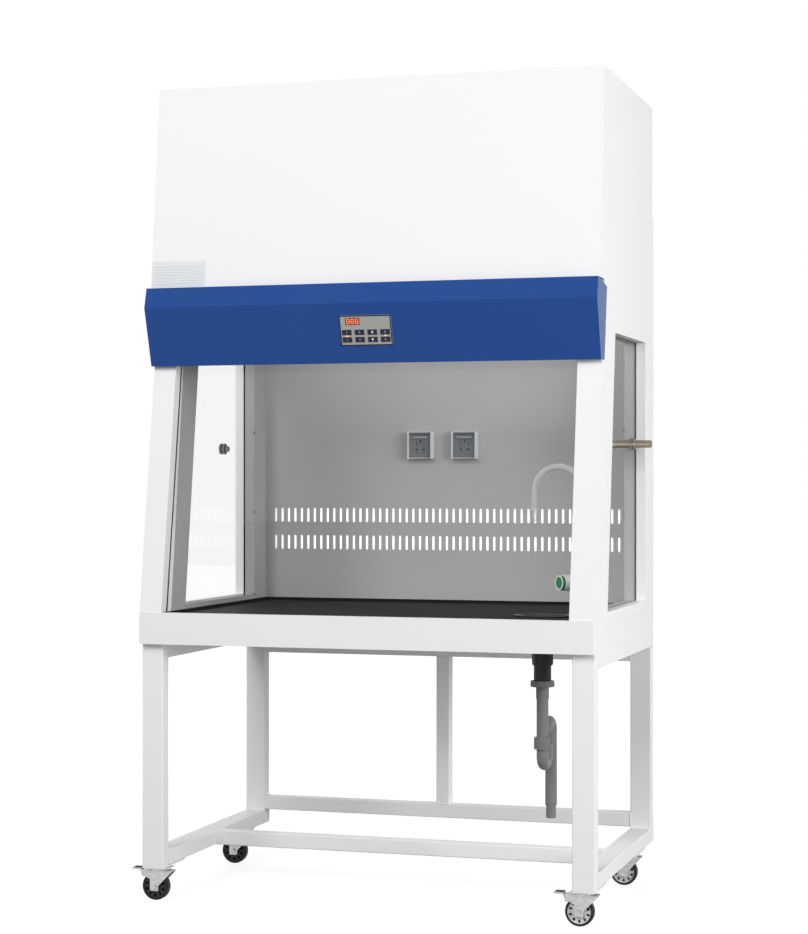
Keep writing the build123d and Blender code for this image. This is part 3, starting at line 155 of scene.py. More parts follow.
def block_blank(size, centre=(0.0, 0.0, 0.0)):
    """A block in millimetres about a centre."""
    bpy.ops.object.select_all(action="DESELECT")
    bpy.ops.mesh.primitive_cube_add(size=MM, location=[value * MM for value in centre])
    blank = bpy.context.object
    blank.scale = size
    bpy.ops.object.transform_apply(location=True, rotation=True, scale=True)
    return blank


def facing(place, normal, spin=0.0):
    """The placing that stands a piece on a point with its Z axis along a normal."""
    turn = Vector(normal).to_track_quat("Z", "Y").to_matrix().to_4x4()
    return Matrix.Translation(place) @ turn @ Matrix.Rotation(spin, 4, "Z")


def copies_of(pattern, places):
    """A copy of a modelled piece at each place, each with a mesh of its own; the pattern goes."""
    made = []
    for place in places:
        twin = pattern.copy()
        twin.data = pattern.data.copy()
        twin.data.transform(place)
        bpy.context.scene.collection.objects.link(twin)
        made.append(twin)
    bpy.data.objects.remove(pattern)
    return made


def joined(pieces):
    """Several pieces made into one."""
    only(*pieces)
    if len(pieces) > 1:
        bpy.ops.object.join()
    return bpy.context.view_layer.objects.active


def placed(pattern, *places):
    """One piece made of a modelled pattern set at one or more places."""
    return joined(copies_of(pattern, places))


def dressed(obj, name, material, body):
    """Name a finished piece, shade and coat it, and fix it to its body."""
    only(obj)
    bpy.ops.object.shade_smooth_by_angle(angle=SMOOTH_ANGLE)
    obj.name = name
    obj.data.materials.clear()
    obj.data.materials.append(material)
    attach(obj, body)
    return obj


def group_socket(group, way, kind, label, value=None):
    """Add one named input or output to a shader node group."""
    socket = group.interface.new_socket(name=label, in_out=way, socket_type=kind)
    if value is not None:
        socket.default_value = value
    return socket


def wire(tree, source, outlet, target, inlet):
    """Join an output of one node to an input of another."""
    tree.links.new(source.outputs[outlet], target.inputs[inlet])


def new_math(tree, operation):
    """A node that works one sum."""
    node = tree.nodes.new("ShaderNodeMath")
    node.operation = operation
    return node


def new_vector_math(tree, operation):
    """A node that works one sum on vectors."""
    node = tree.nodes.new("ShaderNodeVectorMath")
    node.operation = operation
    return node


def new_range(tree, start=0.0, stop=1.0, least=0.0, most=1.0):
    """A node that takes one range of values to another."""
    node = tree.nodes.new("ShaderNodeMapRange")
    node.inputs["From Min"].default_value = start
    node.inputs["From Max"].default_value = stop
    node.inputs["To Min"].default_value = least
    node.inputs["To Max"].default_value = most
    return node


def new_colour_mix(tree):
    """A node that mixes two colours."""
    node = tree.nodes.new("ShaderNodeMix")
    node.data_type = "RGBA"
    return node


def make_grain_group():
    """Surface grain: broad cloudy shade variation, roughness variation, and a fine bump."""
    group = bpy.data.node_groups.new("surface_grain", "ShaderNodeTree")
    group_socket(group, "INPUT", "NodeSocketColor", "Colour", (0.8, 0.8, 0.8, 1.0))
    group_socket(group, "INPUT", "NodeSocketFloat", "Shade Change", 0.04)
    group_socket(group, "INPUT", "NodeSocketFloat", "Roughness", 0.4)
    group_socket(group, "INPUT", "NodeSocketFloat", "Roughness Change", 0.08)
    group_socket(group, "INPUT", "NodeSocketFloat", "Cloud Scale", 6.0)
    group_socket(group, "INPUT", "NodeSocketFloat", "Grain Scale", 900.0)
    group_socket(group, "INPUT", "NodeSocketFloat", "Grain Depth", 0.1)
    group_socket(group, "OUTPUT", "NodeSocketColor", "Colour")
    group_socket(group, "OUTPUT", "NodeSocketFloat", "Roughness")
    group_socket(group, "OUTPUT", "NodeSocketVector", "Normal")
    nodes = group.nodes
    come = nodes.new("NodeGroupInput")
    leave = nodes.new("NodeGroupOutput")
    place = nodes.new("ShaderNodeTexCoord")
    cloud = nodes.new("ShaderNodeTexNoise")
    cloud.inputs["Detail"].default_value = 4.0
    cloud.inputs["Roughness"].default_value = 0.6
    wire(group, place, "Object", cloud, "Vector")
    wire(group, come, "Cloud Scale", cloud, "Scale")
    centred = new_math(group, "SUBTRACT")
    centred.inputs[1].default_value = 0.5
    wire(group, cloud, "Fac", centred, 0)
    shade = new_math(group, "MULTIPLY_ADD")
    wire(group, centred, 0, shade, 0)
    wire(group, come, "Shade Change", shade, 1)
    shade.inputs[2].default_value = 1.0
    tint = new_vector_math(group, "SCALE")
    wire(group, come, "Colour", tint, "Vector")
    wire(group, shade, 0, tint, "Scale")
    wire(group, tint, "Vector", leave, "Colour")
    rough = new_math(group, "MULTIPLY_ADD")
    rough.use_clamp = True
    wire(group, centred, 0, rough, 0)
    wire(group, come, "Roughness Change", rough, 1)
    wire(group, come, "Roughness", rough, 2)
    wire(group, rough, 0, leave, "Roughness")
    grain = nodes.new("ShaderNodeTexNoise")
    grain.inputs["Detail"].default_value = 2.0
    wire(group, place, "Object", grain, "Vector")
    wire(group, come, "Grain Scale", grain, "Scale")
    bump = nodes.new("ShaderNodeBump")
    bump.inputs["Distance"].default_value = 0.0004
    wire(group, grain, "Fac", bump, "Height")
    wire(group, come, "Grain Depth", bump, "Strength")
    wire(group, bump, "Normal", leave, "Normal")
    return group


surface_grain = make_grain_group()


def new_finish(name):
    """A material with its shader ready: returns the material, its node tree and the shader."""
    material = bpy.data.materials.new(name)
    material.use_nodes = True
    tree = material.node_tree
    return material, tree, tree.nodes["Principled BSDF"]


def grained(name, colour, roughness, shade=0.04, rough_change=0.08, cloud=6.0, grain=900.0, depth=0.1,
            gloss=0.3, coat=0.0):
    """A finish whose colour, gloss and bump come from the surface grain group."""
    material, tree, shader = new_finish(name)
    node = tree.nodes.new("ShaderNodeGroup")
    node.node_tree = surface_grain
    node.inputs["Colour"].default_value = (*colour, 1.0)
    node.inputs["Shade Change"].default_value = shade
    node.inputs["Roughness"].default_value = roughness
    node.inputs["Roughness Change"].default_value = rough_change
    node.inputs["Cloud Scale"].default_value = cloud
    node.inputs["Grain Scale"].default_value = grain
    node.inputs["Grain Depth"].default_value = depth
    wire(tree, node, "Colour", shader, "Base Color")
    wire(tree, node, "Roughness", shader, "Roughness")
    wire(tree, node, "Normal", shader, "Normal")
    shader.inputs["Specular IOR Level"].default_value = gloss
    shader.inputs["Coat Weight"].default_value = coat
    return material


def coat_node(node, material):
    """Give a CAD node its finish."""
    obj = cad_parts[node]
    obj.data.materials.clear()
    obj.data.materials.append(material)
    return obj


def bead_run(start, end):
    """Places of the ripples of one weld bead, from one end to the other."""
    start, end = spot(*start), spot(*end)
    count = int((end - start).length / (BEAD_PITCH * MM)) + 1
    return [Matrix.Translation(start.lerp(end, step / (count - 1))) for step in range(count)]


def upright_bead(x, behind, low):
    """Places of the ripples of the upright bead at the end of one rail."""
    return bead_run((x, behind, low + BEAD_END), (x, behind, low + RAIL_HEIGHT - BEAD_END))


stand_coat = grained("stand_powder_coat", (0.88, 0.88, 0.88), 0.42, shade=0.03, cloud=4.0, grain=700.0,
                     depth=0.12)
coat_node("base_frame", stand_coat)
bpy.ops.object.select_all(action="DESELECT")
bpy.ops.mesh.primitive_uv_sphere_add(segments=10, ring_count=6, radius=BEAD_RADIUS * MM)
ripple = bpy.context.object
open_piece(ripple, every_face)
bpy.ops.transform.resize(value=BEAD_SQUASH)
close_piece()
runs = []
for side in (-1, 1):
    inner = side * LEG_INNER
    near, far = side * (LEG_INNER + BEAD_END), side * (HALF - BEAD_END)
    for low in (SIDE_RAIL_LOW, TABLE_BOTTOM - RAIL_HEIGHT):
        runs += upright_bead(inner, LEG_REAR, low)
    for behind in (LEG_REAR, REAR_LEG_FRONT):
        runs += bead_run((near, behind, SIDE_RAIL_TOP), (far, behind, SIDE_RAIL_TOP))
    runs += upright_bead(inner, STRETCHER_FRONT, SIDE_RAIL_LOW)
    runs += bead_run((inner, STRETCHER_FRONT + BEAD_END, SIDE_RAIL_TOP),
                     (inner, STRETCHER_REAR - BEAD_END, SIDE_RAIL_TOP))
    for low in REAR_RAILS:
        runs += upright_bead(inner, REAR_LEG_FRONT, low)
for height in (REAR_RAILS[0] + RAIL_HEIGHT, REAR_RAILS[1]):
    runs += bead_run((-POST_BEAD, REAR_LEG_FRONT, height), (POST_BEAD, REAR_LEG_FRONT, height))
dressed(placed(ripple, *runs), "stand_weld_beads", stand_coat, "hood")


# The casters: zinc-plated pressed forks on a ball race, moulded wheel cores with black rubber tyres.
# The wheel cores are lit and shaded copies of one moulding: painted shade makes those on the left nearly
# black, and those on the right are pale grey as lit. Four hexagon bolts hold each plate to the stand. The
# front two carry a brake pedal with a ribbed tread pad.
CASTER_X = 583.0
CASTER_BEHIND = {"front": 52.0, "rear": 629.0}
CORE_RADIUS = 30.5
CORE_EDGE = 0.15
# Painted light and shade: nearly black for the shaded left cores, pale grey for the lit right ones
CORE_PAINTED_LIGHT_AND_SHADE = {-1: 0.03, 1: 0.66}
WHEEL_GRAIN = 2500.0
WEB_RADIUS = 29.0
WEB_THICK = 2.0
WEB_STEP = 6.0
WEB_DISH = (1.0, 1.0, 0.7)
PLATE_BOTTOM = 86.0
BOLT_ACROSS = 19.0
BOLT_ALONG = 24.0
BOLT_HEAD = (4.0, 2.6)
BOLT_FLANGE = (4.4, 0.8)
PEDAL_TOP = 85.3
PAD_LENGTH = 23.0
PAD_WIDTH = 20.0
PAD_THICK = 1.4
PAD_CENTRE = -60.5
PAD_RIBS = 11
RIB_HEIGHT = 0.7
ROUGH_SWING = 0.08


def brushed(name, colour, roughness, direction, shade=0.12, metal=1.0):
    """Plated or machined metal with faint lines along one direction."""
    material, tree, shader = new_finish(name)
    place = tree.nodes.new("ShaderNodeTexCoord")
    stretch = tree.nodes.new("ShaderNodeMapping")
    stretch.inputs["Scale"].default_value = direction
    lines = tree.nodes.new("ShaderNodeTexNoise")
    lines.inputs["Scale"].default_value = 60.0
    lines.inputs["Detail"].default_value = 6.0
    wire(tree, place, "Object", stretch, "Vector")
    wire(tree, stretch, "Vector", lines, "Vector")
    ramp = tree.nodes.new("ShaderNodeValToRGB")
    ramp.color_ramp.elements[0].color = (*[c * (1.0 - shade) for c in colour], 1.0)
    ramp.color_ramp.elements[1].color = (*[min(1.0, c * (1.0 + shade)) for c in colour], 1.0)
    ramp.color_ramp.elements[0].position = 0.3
    ramp.color_ramp.elements[1].position = 0.7
    wire(tree, lines, "Fac", ramp, "Fac")
    wire(tree, ramp, "Color", shader, "Base Color")
    change = new_range(tree, least=roughness - ROUGH_SWING, most=roughness + ROUGH_SWING)
    wire(tree, lines, "Fac", change, "Value")
    wire(tree, change, "Result", shader, "Roughness")
    shader.inputs["Metallic"].default_value = metal
    return material


def middle_of(node):
    """The middle of a node's box at rest, in metres."""
    low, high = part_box(node)
    return (Vector(low) + Vector(high)) / 2


def grain_node(tree, shade, roughness):
    """The surface grain of one grey material of a wheel."""
    node = tree.nodes.new("ShaderNodeGroup")
    node.node_tree = surface_grain
    node.inputs["Colour"].default_value = (shade, shade, shade, 1.0)
    node.inputs["Roughness"].default_value = roughness
    node.inputs["Grain Scale"].default_value = WHEEL_GRAIN
    return node


def wheel_finish(name, axle, core_painted_tone):
    """Moulded core, toned with painted light and shade, inside its rim radius; black rubber outside it, by
    distance from the axle.
    """
    material, tree, shader = new_finish(name)
    place = tree.nodes.new("ShaderNodeTexCoord")
    centre = tree.nodes.new("ShaderNodeMapping")
    centre.inputs["Location"].default_value = (-axle.x, 0.0, -axle.z)
    wire(tree, place, "Object", centre, "Vector")
    flat = new_vector_math(tree, "MULTIPLY")
    flat.inputs[1].default_value = (1.0, 0.0, 1.0)
    wire(tree, centre, "Vector", flat, 0)
    distance = new_vector_math(tree, "LENGTH")
    wire(tree, flat, "Vector", distance, 0)
    outside = new_range(tree, (CORE_RADIUS - CORE_EDGE) * MM, (CORE_RADIUS + CORE_EDGE) * MM)
    wire(tree, distance, "Value", outside, "Value")
    core = grain_node(tree, core_painted_tone, 0.45)
    rubber = grain_node(tree, 0.012, 0.55)
    rubber.inputs["Shade Change"].default_value = 0.4
    colour = new_colour_mix(tree)
    rough = tree.nodes.new("ShaderNodeMix")
    for mix, kind, inlet in ((colour, "Colour", "Base Color"), (rough, "Roughness", "Roughness")):
        wire(tree, outside, "Result", mix, "Factor")
        wire(tree, core, kind, mix, "A")
        wire(tree, rubber, kind, mix, "B")
        wire(tree, mix, "Result", shader, inlet)
    wire(tree, core, "Normal", shader, "Normal")
    shader.inputs["Specular IOR Level"].default_value = 0.25
    return material


zinc_plate = brushed("zinc_plated_steel", (0.56, 0.57, 0.58), 0.38, (1.0, 1.0, 3.0), shade=0.18, metal=0.75)
tread_black = grained("tread_black_rubber", (0.06, 0.065, 0.07), 0.6, shade=0.3, grain=WHEEL_GRAIN, depth=0.2)
# Painted shade: the web behind the core's windows is near black on every wheel, for the shade inside the
# windows
web_painted_shade = grained("wheel_web_painted_shade", (0.012, 0.012, 0.012), 0.6, shade=0.2, grain=WHEEL_GRAIN, depth=0.1)
coat_node("caster_heads", zinc_plate)
corners = [(row, side) for row in ("front", "rear") for side in (-1, 1)]
side_names = {-1: "left", 1: "right"}
for row, side in corners:
    corner = f"{row}_{side_names[side]}"
    coat_node(f"caster_fork_{corner}", zinc_plate)
    axle = middle_of(f"caster_wheel_{corner}")
    coat_node(f"caster_wheel_{corner}", wheel_finish(f"wheel_finish_{corner}", axle, CORE_PAINTED_LIGHT_AND_SHADE[side]))

    # The web: a thin disc that closes the middle of the wheel behind its windows; its near black is painted
    # shade in the windows
    web = round_blank(WEB_RADIUS, WEB_THICK, 40, -WEB_THICK / 2)
    open_piece(web, end_face)
    bpy.ops.mesh.inset(thickness=WEB_STEP * MM)
    bpy.ops.transform.resize(value=WEB_DISH)
    close_piece()
    web = placed(web, facing(axle, (0, 1, 0)))
    dressed(web, f"wheel_web_{corner}", web_painted_shade, f"wheel_{corner}")

    # Plate bolts: hexagon heads with a round flange, driven up into the stand
    bolt = round_blank(*BOLT_HEAD, 6, BOLT_FLANGE[1])
    soften(bolt, 0.3, 1)
    flange = round_blank(*BOLT_FLANGE, 24)
    soften(flange, 0.3, 1)
    bolt = joined([bolt, flange])
    plate_x, plate_behind = side * CASTER_X, CASTER_BEHIND[row]
    places = [facing(spot(plate_x + across, plate_behind + along, PLATE_BOTTOM), (0, 0, -1), across)
              for across in (-BOLT_ACROSS, BOLT_ACROSS) for along in (-BOLT_ALONG, BOLT_ALONG)]
    dressed(placed(bolt, *places), f"plate_bolts_{corner}", zinc_plate, "hood")

for side in (-1, 1):
    name = side_names[side]
    coat_node(f"brake_pedal_{name}", zinc_plate)
    bpy.ops.object.select_all(action="DESELECT")
    bpy.ops.mesh.primitive_grid_add(x_subdivisions=PAD_RIBS, y_subdivisions=1, size=MM)
    pad = bpy.context.object
    pad.scale = (PAD_LENGTH, PAD_WIDTH, 1.0)
    bpy.ops.object.transform_apply(location=True, rotation=True, scale=True)
    open_piece(pad, every_face)
    bpy.ops.mesh.extrude_region_move(TRANSFORM_OT_translate={"value": (0, 0, PAD_THICK * MM)})
    bpy.ops.mesh.select_all(action="SELECT")
    bpy.ops.mesh.normals_make_consistent(inside=False)
    strip = PAD_LENGTH / PAD_RIBS * MM
    pick(pad, lambda face: top_face(face) and round(face.calc_center_median().x / strip) % 2 == 0)
    bpy.ops.mesh.extrude_faces_move(TRANSFORM_OT_shrink_fatten={"value": RIB_HEIGHT * MM})
    close_piece()
    soften(pad, 0.25, 1)
    seat = spot(side * CASTER_X + PAD_CENTRE, CASTER_BEHIND["front"], PEDAL_TOP)
    pad = placed(pad, Matrix.Translation(seat))
    dressed(pad, f"pedal_tread_{name}", tread_black, f"pedal_{name}")


# The table: a folded white apron round an underpan and bearers, screwed from below.
# The housing and wall sheets above it carry the same white powder coat.
SHEET_SCREW = 3.6
HEAD_HEIGHT = 0.55
HEAD_ROUND = 0.2
CROSS_LENGTH = 1.05
CROSS_WIDTH = 0.22
CROSS_DEPTH = 0.5
SUNK = 0.1
UNDERPAN_SCREWS = ((-490, -160, 160, 490), (30, 770))


def cut(obj, tool):
    """Cut a tool's shape out of a piece; the tool goes."""
    only(obj)
    cutter = obj.modifiers.new("cut", "BOOLEAN")
    cutter.object = tool
    cutter.solver = "EXACT"
    bpy.ops.object.modifier_apply(modifier=cutter.name)
    bpy.data.objects.remove(tool)


def cross_screw(radius):
    """A pan-head screw with a cross recess, standing on Z = 0; its measures go with its radius."""
    height = radius * HEAD_HEIGHT
    head = round_blank(radius, height, 24, -SUNK)
    soften(head, radius * HEAD_ROUND, 3)
    length, width, depth = (radius * part for part in (CROSS_LENGTH, CROSS_WIDTH, CROSS_DEPTH))
    cut(head, block_blank((length, width, depth), (0, 0, height)))
    cut(head, block_blank((width, length, depth), (0, 0, height)))
    return head


white_coat = grained("white_powder_coat", (0.87, 0.87, 0.87), 0.38, shade=0.02, cloud=3.0, grain=700.0,
                     depth=0.1)
for node in ("table_apron", "front_posts", "side_panels", "rear_panel", "housing_front_cover",
             "housing_top_panel"):
    coat_node(node, white_coat)
coat_node("table_underframe", zinc_plate)
screw_zinc = brushed("screw_zinc", (0.6, 0.61, 0.62), 0.35, (1.0, 1.0, 1.0))
places = [facing(spot(x, behind, TABLE_BOTTOM), (0, 0, -1), x + behind)
          for x in UNDERPAN_SCREWS[0] for behind in UNDERPAN_SCREWS[1]]
dressed(placed(cross_screw(SHEET_SCREW), *places), "underpan_screws", screw_zinc, "hood")


# The worktop: a moulded black resin slab with a raised rim, bedded in a line of grey sealant.
# The sealant is squeezed out a little all round and wiped to a low rounded line.
WORKTOP_HALF = 558.0
WORKTOP_FRONT = 8.0
WORKTOP_REAR = 796.5
TABLE_TOP = 778.0
SEALANT_WIDTH = 2.4
SEALANT_HEIGHT = 0.5


def flat_frame(width, height, band, thick):
    """A flat frame: a sheet with its middle taken out, raised to a thickness in millimetres."""
    bpy.ops.object.select_all(action="DESELECT")
    bpy.ops.mesh.primitive_plane_add(size=MM)
    strip = bpy.context.object
    strip.scale = (width, height, 1.0)
    bpy.ops.object.transform_apply(location=True, rotation=True, scale=True)
    open_piece(strip, every_face)
    bpy.ops.mesh.inset(thickness=band * MM)
    bpy.ops.mesh.delete(type="FACE")
    bpy.ops.mesh.select_all(action="SELECT")
    bpy.ops.mesh.extrude_region_move(TRANSFORM_OT_translate={"value": (0, 0, thick * MM)})
    close_piece()
    return strip


resin_black = grained("black_worktop_resin", (0.014, 0.014, 0.0145), 0.6, shade=0.35, cloud=9.0, grain=1200.0,
                      depth=0.2, gloss=0.1)
coat_node("worktop", resin_black)
width = 2 * WORKTOP_HALF + SEALANT_WIDTH
length = WORKTOP_REAR - WORKTOP_FRONT + SEALANT_WIDTH
sealant = flat_frame(width, length, SEALANT_WIDTH, SEALANT_HEIGHT)
soften(sealant, 0.4, 2)
middle = (WORKTOP_FRONT + WORKTOP_REAR) / 2
sealant = placed(sealant, Matrix.Translation(spot(0, middle, TABLE_TOP)))
sealant_grey = grained("grey_sealant", (0.2, 0.2, 0.2), 0.4, shade=0.15, cloud=30.0, grain=500.0, depth=0.3)
dressed(sealant, "worktop_sealant", sealant_grey, "hood")


# The drain: a black cup sink with a strainer in its outlet, a black back nut with lugs, and a grey trap.
# The trap's three union nuts are moulded with ribs for the fingers.
SINK_X = 427.0
SINK_BEHIND = 262.0
SINK_FLOOR = 709.0
TRAP_PITCH = 50.0
NUTS = ((0.0, 584.0, 600.0, 31.0), (0.0, 418.0, 450.0, 22.0), (TRAP_PITCH, 426.0, 456.0, 21.0))
NUT_RIB = 1.3
RIB_SHORTER = 1.5
RIBS_PER_RADIUS = 0.9
RIB_TAPER = (0.6, 0.6, 1.0)
STRAINER_RING = 16.0
STRAINER_WIRE = 1.6
STRAINER_BAR = (32.0, 2.6, 2.2)
STRAINER_BARS = 3
STRAINER_LIFT = 2.0
LUG_SIZE = (5.0, 7.0, 46.0)
LUG_PLACE = (26.0, 0.0, 667.0)
LUGS = 6


def around(centre, count, radius=0.0):
    """Evenly turned places round an upright line, at a radius in millimetres."""
    reach = Matrix.Translation((radius * MM, 0, 0))
    return [Matrix.Translation(centre) @ Matrix.Rotation(2 * pi * step / count, 4, "Z") @ reach
            for step in range(count)]


moulded_black = grained("black_moulded_plastic", (0.016, 0.016, 0.017), 0.45, shade=0.25, grain=1800.0,
                        depth=0.15, gloss=0.25)
trap_grey = grained("grey_waste_pipe", (0.18, 0.18, 0.18), 0.42, shade=0.08, grain=1500.0, depth=0.1)
sink_black = grained("black_sink_plastic", (0.02, 0.02, 0.021), 0.25, shade=0.25, grain=1800.0, depth=0.1,
                     gloss=0.5)
coat_node("sink_cup", sink_black)
coat_node("drain_adapter", moulded_black)
coat_node("drain_trap", trap_grey)
bpy.ops.object.select_all(action="DESELECT")
bpy.ops.mesh.primitive_torus_add(major_segments=40, minor_segments=10, major_radius=STRAINER_RING * MM,
                                 minor_radius=STRAINER_WIRE * MM)
ring = bpy.context.object
bar = block_blank(STRAINER_BAR)
soften(bar, 0.6, 2)
bars = copies_of(bar, [Matrix.Rotation(pi * step / STRAINER_BARS, 4, "Z") for step in range(STRAINER_BARS)])
seat = spot(SINK_X, SINK_BEHIND, SINK_FLOOR + STRAINER_LIFT)
strainer = placed(joined([ring, *bars]), Matrix.Translation(seat))
dressed(strainer, "sink_strainer", moulded_black, "hood")
ribs = []
for offset, low, high, radius in NUTS:
    rib = round_blank(NUT_RIB, high - low - 2 * RIB_SHORTER, 10, low + RIB_SHORTER)
    open_piece(rib, top_face)
    bpy.ops.transform.resize(value=RIB_TAPER)
    close_piece()
    centre = spot(SINK_X, SINK_BEHIND + offset, 0)
    ribs += copies_of(rib, around(centre, int(radius * RIBS_PER_RADIUS), radius))
dressed(joined(ribs), "trap_nut_ribs", trap_grey, "hood")
lug = block_blank(LUG_SIZE, LUG_PLACE)
soften(lug, 1.0, 2)
lugs = placed(lug, *around(spot(SINK_X, SINK_BEHIND, 0), LUGS))
dressed(lugs, "back_nut_lugs", moulded_black, "hood")


# The chamber: grey coated sheet liner and a baffle with two rows of slots, over a plenum.
# Countersunk screws in plastic cups hold the liner's sides.
LINER_X = 560.0
LINER_SCREWS = ((700.5, 1271.8), (700.5, 1036.0), (700.5, 791.2), (618.6, 795.4))
CUP_RADIUS = 4.4
CUP_HEIGHT = 1.6
CUP_RIM = 1.2
CUP_DEPTH = 0.7
LINER_SCREW = 2.9
liner_coat = grained("grey_liner_coat", (0.405, 0.402, 0.403), 0.5, shade=0.04, cloud=2.0, grain=700.0,
                     depth=0.12)
coat_node("chamber_liner", liner_coat)
coat_node("back_baffle", liner_coat)
cup_grey = grained("screw_cup_grey", (0.12, 0.12, 0.12), 0.45, shade=0.1, grain=1800.0)
cup = round_blank(CUP_RADIUS, CUP_HEIGHT, 24)
open_piece(cup, top_face)
bpy.ops.mesh.inset(thickness=CUP_RIM * MM)
bpy.ops.transform.translate(value=(0, 0, -CUP_DEPTH * MM))
close_piece()
soften(cup, 0.25, 2)
cup = joined([cup, cross_screw(LINER_SCREW)])
places = [facing(spot(side * LINER_X, behind, height), (-side, 0, 0), height)
          for side in (-1, 1) for behind, height in LINER_SCREWS]
dressed(placed(cup, *places), "liner_screws", cup_grey, "hood")


# The side windows and the sash: toughened sheet glass, the side panes held in grey rubber sections.
# The ground edges of the glass look green, as the light comes along the sheet.
PANE_TINT = (0.9, 0.93, 0.92, 1.0)
EDGE_GREEN = (0.42, 0.52, 0.49, 1.0)
EDGE_COVER = 0.75
SASH_FACE = (0, 0.95525, 0.29582)
SHEET_SIDE = (1, 0, 0)
FACE_FROM_EDGE = (0.6, 0.7)
GLASS_ROUGHNESS = 0.03
GLASS_IOR = 1.5


def sheet_glass(name, face, least, most):
    """Clear sheet glass with a plain face along one normal, and nearly opaque green ground edges."""
    material, tree, shader = new_finish(name)
    shader.inputs["Metallic"].default_value = 1.0
    shader.inputs["Roughness"].default_value = GLASS_ROUGHNESS
    geometry = tree.nodes.new("ShaderNodeNewGeometry")
    along = new_vector_math(tree, "DOT_PRODUCT")
    along.inputs[1].default_value = face
    wire(tree, geometry, "Normal", along, 0)
    size = new_math(tree, "ABSOLUTE")
    wire(tree, along, "Value", size, 0)
    plain = new_range(tree, *FACE_FROM_EDGE)
    wire(tree, size, 0, plain, "Value")
    rim = tree.nodes.new("ShaderNodeFresnel")
    rim.inputs["IOR"].default_value = GLASS_IOR
    cover = new_range(tree, least=least, most=most)
    wire(tree, rim, "Fac", cover, "Value")
    alpha = tree.nodes.new("ShaderNodeMix")
    alpha.inputs["A"].default_value = EDGE_COVER
    wire(tree, plain, "Result", alpha, "Factor")
    wire(tree, cover, "Result", alpha, "B")
    wire(tree, alpha, "Result", shader, "Alpha")
    tint = new_colour_mix(tree)
    tint.inputs["A"].default_value = EDGE_GREEN
    tint.inputs["B"].default_value = PANE_TINT
    wire(tree, plain, "Result", tint, "Factor")
    wire(tree, tint, "Result", shader, "Base Color")
    return material


coat_node("side_window_glass", sheet_glass("side_window_glass", SHEET_SIDE, least=0.01, most=0.1))
coat_node("sash_glass", sheet_glass("sash_glass", SASH_FACE, least=0.01, most=0.12))
gasket_grey = grained("gasket_rubber", (0.26, 0.26, 0.26), 0.6, shade=0.15, grain=1800.0, depth=0.15)
coat_node("side_window_gaskets", gasket_grey)


# The control fascia: folded steel sheet under one deep blue coat.
# It is bent along a line between its two bands.
fascia_blue = grained("fascia_blue_coat", (0.009, 0.058, 0.255), 0.35, shade=0.05, cloud=3.0, grain=700.0,
                      depth=0.1, gloss=0.25)
coat_node("control_fascia", fascia_blue)


# The keypad: a foil panel with dark bands along its edge and round each of its eight short-travel keys, and a
# red display with three digits.
# Each key carries a small printed sign, and two lights show the state.
PAD_ORIGIN = spot(0, 60.0, 1525.06)
PAD_NORMAL = Vector((0.0, -0.95525, -0.29582))
PAD_UP = Vector((0.0, -0.29582, 0.95525))
PANEL_SIZE = (143.0, 82.0)
PANEL_TOP = 2.0
KEY_TOP = 3.0
KEY_ROWS = (-4.9, -24.7)
KEY_COLUMNS = (-52.8, -17.6, 17.6, 52.8)
KEY_SIZE = (24.0, 12.0)
DISPLAY_PLACE = (-35.0, 24.5)
LENS_TOP = 1.4
DIGIT_PITCH = 12.2
DIGIT_WIDTH = 7.4
DIGIT_HALF = 6.2
STROKE = 1.1
STROKE_THICK = 0.12
EDGE_BAND = 3.0
KEY_BAND = 0.9
KEY_MARGIN = 3.0
BAND_INSET = 0.6
BAND_THICK = 0.2
SIGN_RADIUS = 2.6
SIGN_THICK = 0.15
SIGN_HOLLOW = 0.1
SIGN_LINE = 0.75
BOLD_LINE = 1.6
SIGN_BAR = (5.0, 0.5, SIGN_THICK)
SIGN_BAR_DOWN = 4.2
SIGNS = ((3, 90), (4, 45), (24, 0), (6, 0), (3, -90), (4, 0), (24, 0), (5, 90))
LIGHT_SIZE = (2.6, 0.8)
LIGHTS = (("orange", KEY_COLUMNS[0], 9.0, (1.0, 0.3, 0.12)),
          ("yellow", KEY_COLUMNS[3], 4.0, (0.75, 0.7, 0.12)))
SIGN_UP = 1.0
DIGIT_GLOW = 1.7
LIGHT_GLOW = 1.0


def on_panel(u, v, lift, spin=0.0):
    """The placing on the keypad panel: u across, v up and lift out of it, in millimetres."""
    place = PAD_ORIGIN + Vector((u * MM, 0, 0)) + PAD_UP * (v * MM) + PAD_NORMAL * (lift * MM)
    turn = Matrix((Vector((1, 0, 0)), PAD_UP, PAD_NORMAL)).transposed().to_4x4()
    return Matrix.Translation(place) @ turn @ Matrix.Rotation(radians(spin), 4, "Z")


def glowing(name, colour, strength):
    """A small lit part with a faint unevenness."""
    material = grained(name, colour, 0.3, shade=0.1, cloud=200.0)
    shader = material.node_tree.nodes["Principled BSDF"]
    shader.inputs["Emission Color"].default_value = (*colour, 1.0)
    shader.inputs["Emission Strength"].default_value = strength
    return material


keypad_foil = grained("keypad_grey_foil", (0.36, 0.37, 0.35), 0.45, shade=0.05, grain=1800.0, depth=0.08)
coat_node("keypad_plate", keypad_foil)
edge_dark = grained("keypad_dark_edge", (0.003, 0.004, 0.007), 0.6, shade=0.1, grain=1800.0)
width, height = (size - BAND_INSET for size in PANEL_SIZE)
edging = copies_of(flat_frame(width, height, EDGE_BAND, BAND_THICK), [on_panel(0.0, 0.0, PANEL_TOP)])
width, height = (size + KEY_MARGIN - BAND_INSET for size in KEY_SIZE)
places = [on_panel(u, v, PANEL_TOP) for v in KEY_ROWS for u in KEY_COLUMNS]
edging += copies_of(flat_frame(width, height, KEY_BAND, BAND_THICK), places)
dressed(joined(edging), "keypad_edging", edge_dark, "hood")

